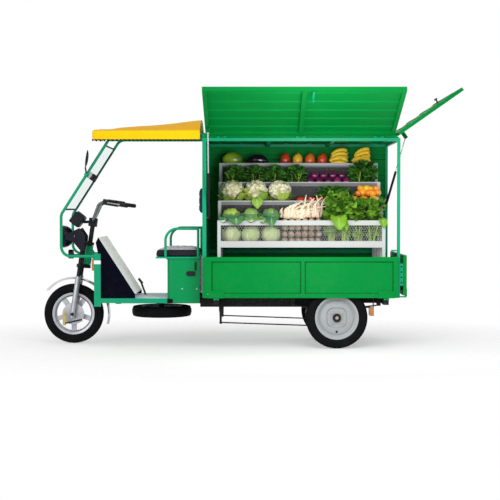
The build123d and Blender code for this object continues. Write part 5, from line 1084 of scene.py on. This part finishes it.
boxes = sorted(itemBoxes("radishes"), key=lambda b: b[0].x)
for at, half in (b for b in boxes if b[1].z <= b[1].y):
    sway = Vector((chance.uniform(-0.012, 0.012), 0, chance.uniform(-0.006, 0.006)))
    addRoot(at + Vector((0, half.y, 0)), Vector((0, -2 * half.y, 0)), sway, root["lying"])
for n, (at, half) in enumerate(b for b in boxes if b[1].z > b[1].y):
    heaped = n < root["heaps"]
    for lean, share, thick in root["heap" if heaped else "sheaf"]:
        share *= chance.uniform(0.86, 1.1)
        start = at + Vector((lean * 0.25 - root["heapBack"] * heaped, chance.uniform(-0.06, 0.0), -half.z))
        sway = Vector((lean + chance.uniform(-0.016, 0.016), chance.uniform(-0.02, 0.0), 0))
        addRoot(start, Vector((lean * 0.6, 0, 2 * half.z * share)), sway, thick * chance.uniform(0.85, 1.1))
settleProduce("paleRoots", bm, "rootSkin", "radishes")

# Greens: lettuces and herb bunches fan out from their roots, with lettuce leaves over the edge of the tray
greens = {
    "lettuce": {"lift": 0.5, "roll": 0.7, "length": (1.05, 1.3), "width": (0.045, 0.075), "bend": (0.5, 1.2),
                "slot": 0, "tints": (0.1, 0.3, 0.55, 0.8, 0.95), "stalks": 14, "reach": 0.9, "stalk": 0.0042},
    "herb": {"lift": 0.3, "roll": 1, "length": (1.0, 1.25), "width": (0.022, 0.04), "bend": (0.3, 0.9),
             "slot": 1, "tints": (0.05, 0.2, 0.45, 0.7, 0.95), "stalks": 9, "reach": 1.1, "stalk": 0.0022},
    "overhang": (
        (0.66, 0.07, 1.0, -1.45, 0.5, 0.2, 0.125, -2.3, 0.75), (0.70, 0.06, 0.985, -1.3, 0.1, 0.16, 0.05, -1.6, 0.6),
        (0.645, 0.1, 1.04, -1.9, 0.9, 0.13, 0.1, -1.3, 0.85), (0.64, 0.12, 1.1, -1.75, 1.2, 0.13, 0.085, -1.2, 0.95),
        (0.94, 0.07, 1.0, -2.0, 0.75, 0.15, 0.1, -1.0, 0.95), (1.0, 0.06, 0.985, -1.4, 0.3, 0.13, 0.07, -1.9, 0.7),
        (0.83, 0.08, 1.01, -1.7, 0.8, 0.14, 0.09, -1.5, 0.6), (0.77, 0.09, 1.03, -1.4, 1.0, 0.14, 0.08, -1.5, 0.45),
        (0.88, 0.1, 1.08, -1.6, 1.1, 0.14, 0.09, -1.3, 0.7), (0.99, 0.1, 1.07, -1.3, 1.1, 0.13, 0.08, -1.2, 0.5)),
    "loose": {"count": 150, "x": (0.6, 1.0), "back": (0.035, 0.1), "low": 0.985, "crowns": (1.175, 1.135),
              "parting": 0.76, "tints": (0.02, 0.1, 0.3, 0.55, 0.9)},
}


def grown(at, half):
    # kind, place, half size and number of leaves of the bunch that stands for a drawn block
    if half.z > 0.15:
        if at.x > 0.8:
            at, half = at - Vector((0, 0, 0.025)), Vector((half.x * 1.2, half.y, half.z - 0.025))
        return "lettuce", at, half, 70
    if at.z > 1.25 and at.x > 0.85:
        return "herb", at + Vector((-0.01, -0.02, 0.025)), Vector((0.115, 0.095, 0.105)), 230
    if at.z > 1.25:
        return "herb", at + Vector((0, -0.01, 0.018)), Vector((0.085, 0.07, 0.085)), 150
    return "herb", at, Vector((0.13, 0.09, 0.075)), 190


bm = blank()
chance = random.Random(33)
for box in itemBoxes("leafy_greens"):
    kind, at, half, count = grown(*box)
    leaf = greens[kind]
    for i in range(count):
        rise = 1 - 1.75 * (i + 0.5) / count
        flat = sqrt(1 - rise * rise)
        turn = 2.39996 * i + chance.uniform(-0.3, 0.3)
        ray = Vector((flat * cos(turn), flat * sin(turn), rise))
        start = at + Vector((ray.x * half.x * 0.25, ray.y * half.y * 0.25, ray.z * half.z * 0.6 - half.z * 0.12))
        run = at + ray * half - start
        pitch = asin(max(-1, min(1, run.z / run.length))) + leaf["lift"]
        place = aimed(start, atan2(run.y, run.x), pitch, chance.uniform(-leaf["roll"], leaf["roll"]))
        addLeaf(bm, place, run.length * chance.uniform(*leaf["length"]), chance.uniform(*leaf["width"]),
                -chance.uniform(*leaf["bend"]), kind, chance.choice(leaf["tints"]), leaf["slot"])
    foot = at - Vector((0, 0, half.z * 0.96))
    for i in range(leaf["stalks"]):
        lean = Vector((chance.uniform(-0.6, 0.6), chance.uniform(-0.8, 0.5), leaf["reach"])) * half
        base = foot + Vector((chance.uniform(-0.5, 0.5), chance.uniform(-0.75, 0.4), 0)) * half
        addTube(bm, lambda t: base + lean * t, lambda t, a: leaf["stalk"], chance.random(), (3, 6), 2,
                Vector((1, 0, 0)))
hangLeaves(bm, tray, greens["overhang"], "overhang")
loose = greens["loose"]
for i in range(loose["count"]):
    x = chance.uniform(*loose["x"])
    crown = loose["crowns"][0 if x < loose["parting"] else 1]
    at = Vector((x + shiftX, tray + chance.uniform(*loose["back"]), chance.uniform(loose["low"], crown)))
    place = aimed(at, chance.uniform(-2.9, -0.3), chance.uniform(-0.1, 1.2), chance.uniform(-0.8, 0.8))
    addLeaf(bm, place, chance.uniform(0.05, 0.085), chance.uniform(0.04, 0.07), -chance.uniform(0.6, 1.6), "loose",
            chance.choice(loose["tints"]))
settleProduce("leafyGreens", bm, "brightLeaf herbLeaf cauliLeaf", "leafy_greens")


# Floor: a pale disc that fades out into the white surround. A lamp has its power, size, place and aim.
studio = {"floorRadius": 7.0, "floorColor": (0.9, 0.9, 0.9), "worldLight": 0.56, "glossLight": 1.0,
          "lamps": {"overheadLight": (186.0, 6.0, (1.2, -2.5, 6.5), (0, 0.2, 0.6)),
                    "stallLight": (22.0, 0.9, (0.6, -1.6, 1.25), (0.5, 0.4, 1.15)),
                    "servingFill": (250.0, 4.5, (-5.5, -6.5, 2.6), (0.2, 0.2, 0.9))},
          "camera": {"at": (shiftX, midY - 10.31, 1.055), "pitch": 1.76, "lens": 93.6}}


def link(name, data):
    thing = bpy.data.objects.new(name, data)
    bpy.context.collection.objects.link(thing)
    return thing


bm = bmesh.new()
bmesh.ops.create_circle(bm, cap_ends=True, segments=64, radius=studio["floorRadius"])
floorMesh = bpy.data.meshes.new("studioFloor")
bm.to_mesh(floorMesh)
bm.free()
floorLook = Look("paleFloor", studio["floorColor"], Roughness=0.95)
away = floorLook.axis("X") ** 2.0 + ((floorLook.axis("Y") - midY) * 1.3) ** 2.0
floorLook.feed("Alpha", floorLook.fade(floorLook.math("SQRT", away), 1.1, 3.2, 0.6, 0.0))
floorMesh.materials.append(floorLook.mat)
link("studioFloor", floorMesh)

world = bpy.data.worlds.new("studioWorld")
bpy.context.scene.world = world
world.use_nodes = True
sky = world.node_tree
sky.nodes.remove(sky.nodes["Background"])


def background(strength):
    node = sky.nodes.new("ShaderNodeBackground")
    node.inputs["Color"].default_value = (1, 1, 1, 1)
    node.inputs["Strength"].default_value = strength
    return node.outputs[0]


# Lamps and surround light the object; the camera, metal and glass see a white background
rays = sky.nodes.new("ShaderNodeLightPath")
shown = background(studio["worldLight"])
for ray, strength in (("Glossy", studio["glossLight"]), ("Transmission", 1.0), ("Camera", 1.0)):
    node = sky.nodes.new("ShaderNodeMixShader")
    for socket, wire in zip(node.inputs, (rays.outputs["Is " + ray + " Ray"], shown, background(strength))):
        sky.links.new(wire, socket)
    shown = node.outputs[0]
sky.links.new(shown, sky.nodes["World Output"].inputs["Surface"])

for name, (power, size, at, aim) in studio["lamps"].items():
    lamp = bpy.data.lights.new(name, "AREA")
    lamp.energy = power
    lamp.size = size
    holder = link(name, lamp)
    holder.location = at
    holder.rotation_euler = (Vector(aim) - Vector(at)).to_track_quat("-Z", "Y").to_euler()

cam = bpy.data.cameras.new("photoCamera")
cam.lens = studio["camera"]["lens"]
cam.sensor_width = 36.0
cam.sensor_fit = "HORIZONTAL"
camObject = link("photoCamera", cam)
camObject.location = studio["camera"]["at"]
camObject.rotation_euler = (radians(90 - studio["camera"]["pitch"]), 0, 0)
bpy.context.scene.camera = camObject
bpy.context.scene.view_settings.view_transform = "Standard"
print("floor, lights and camera set")
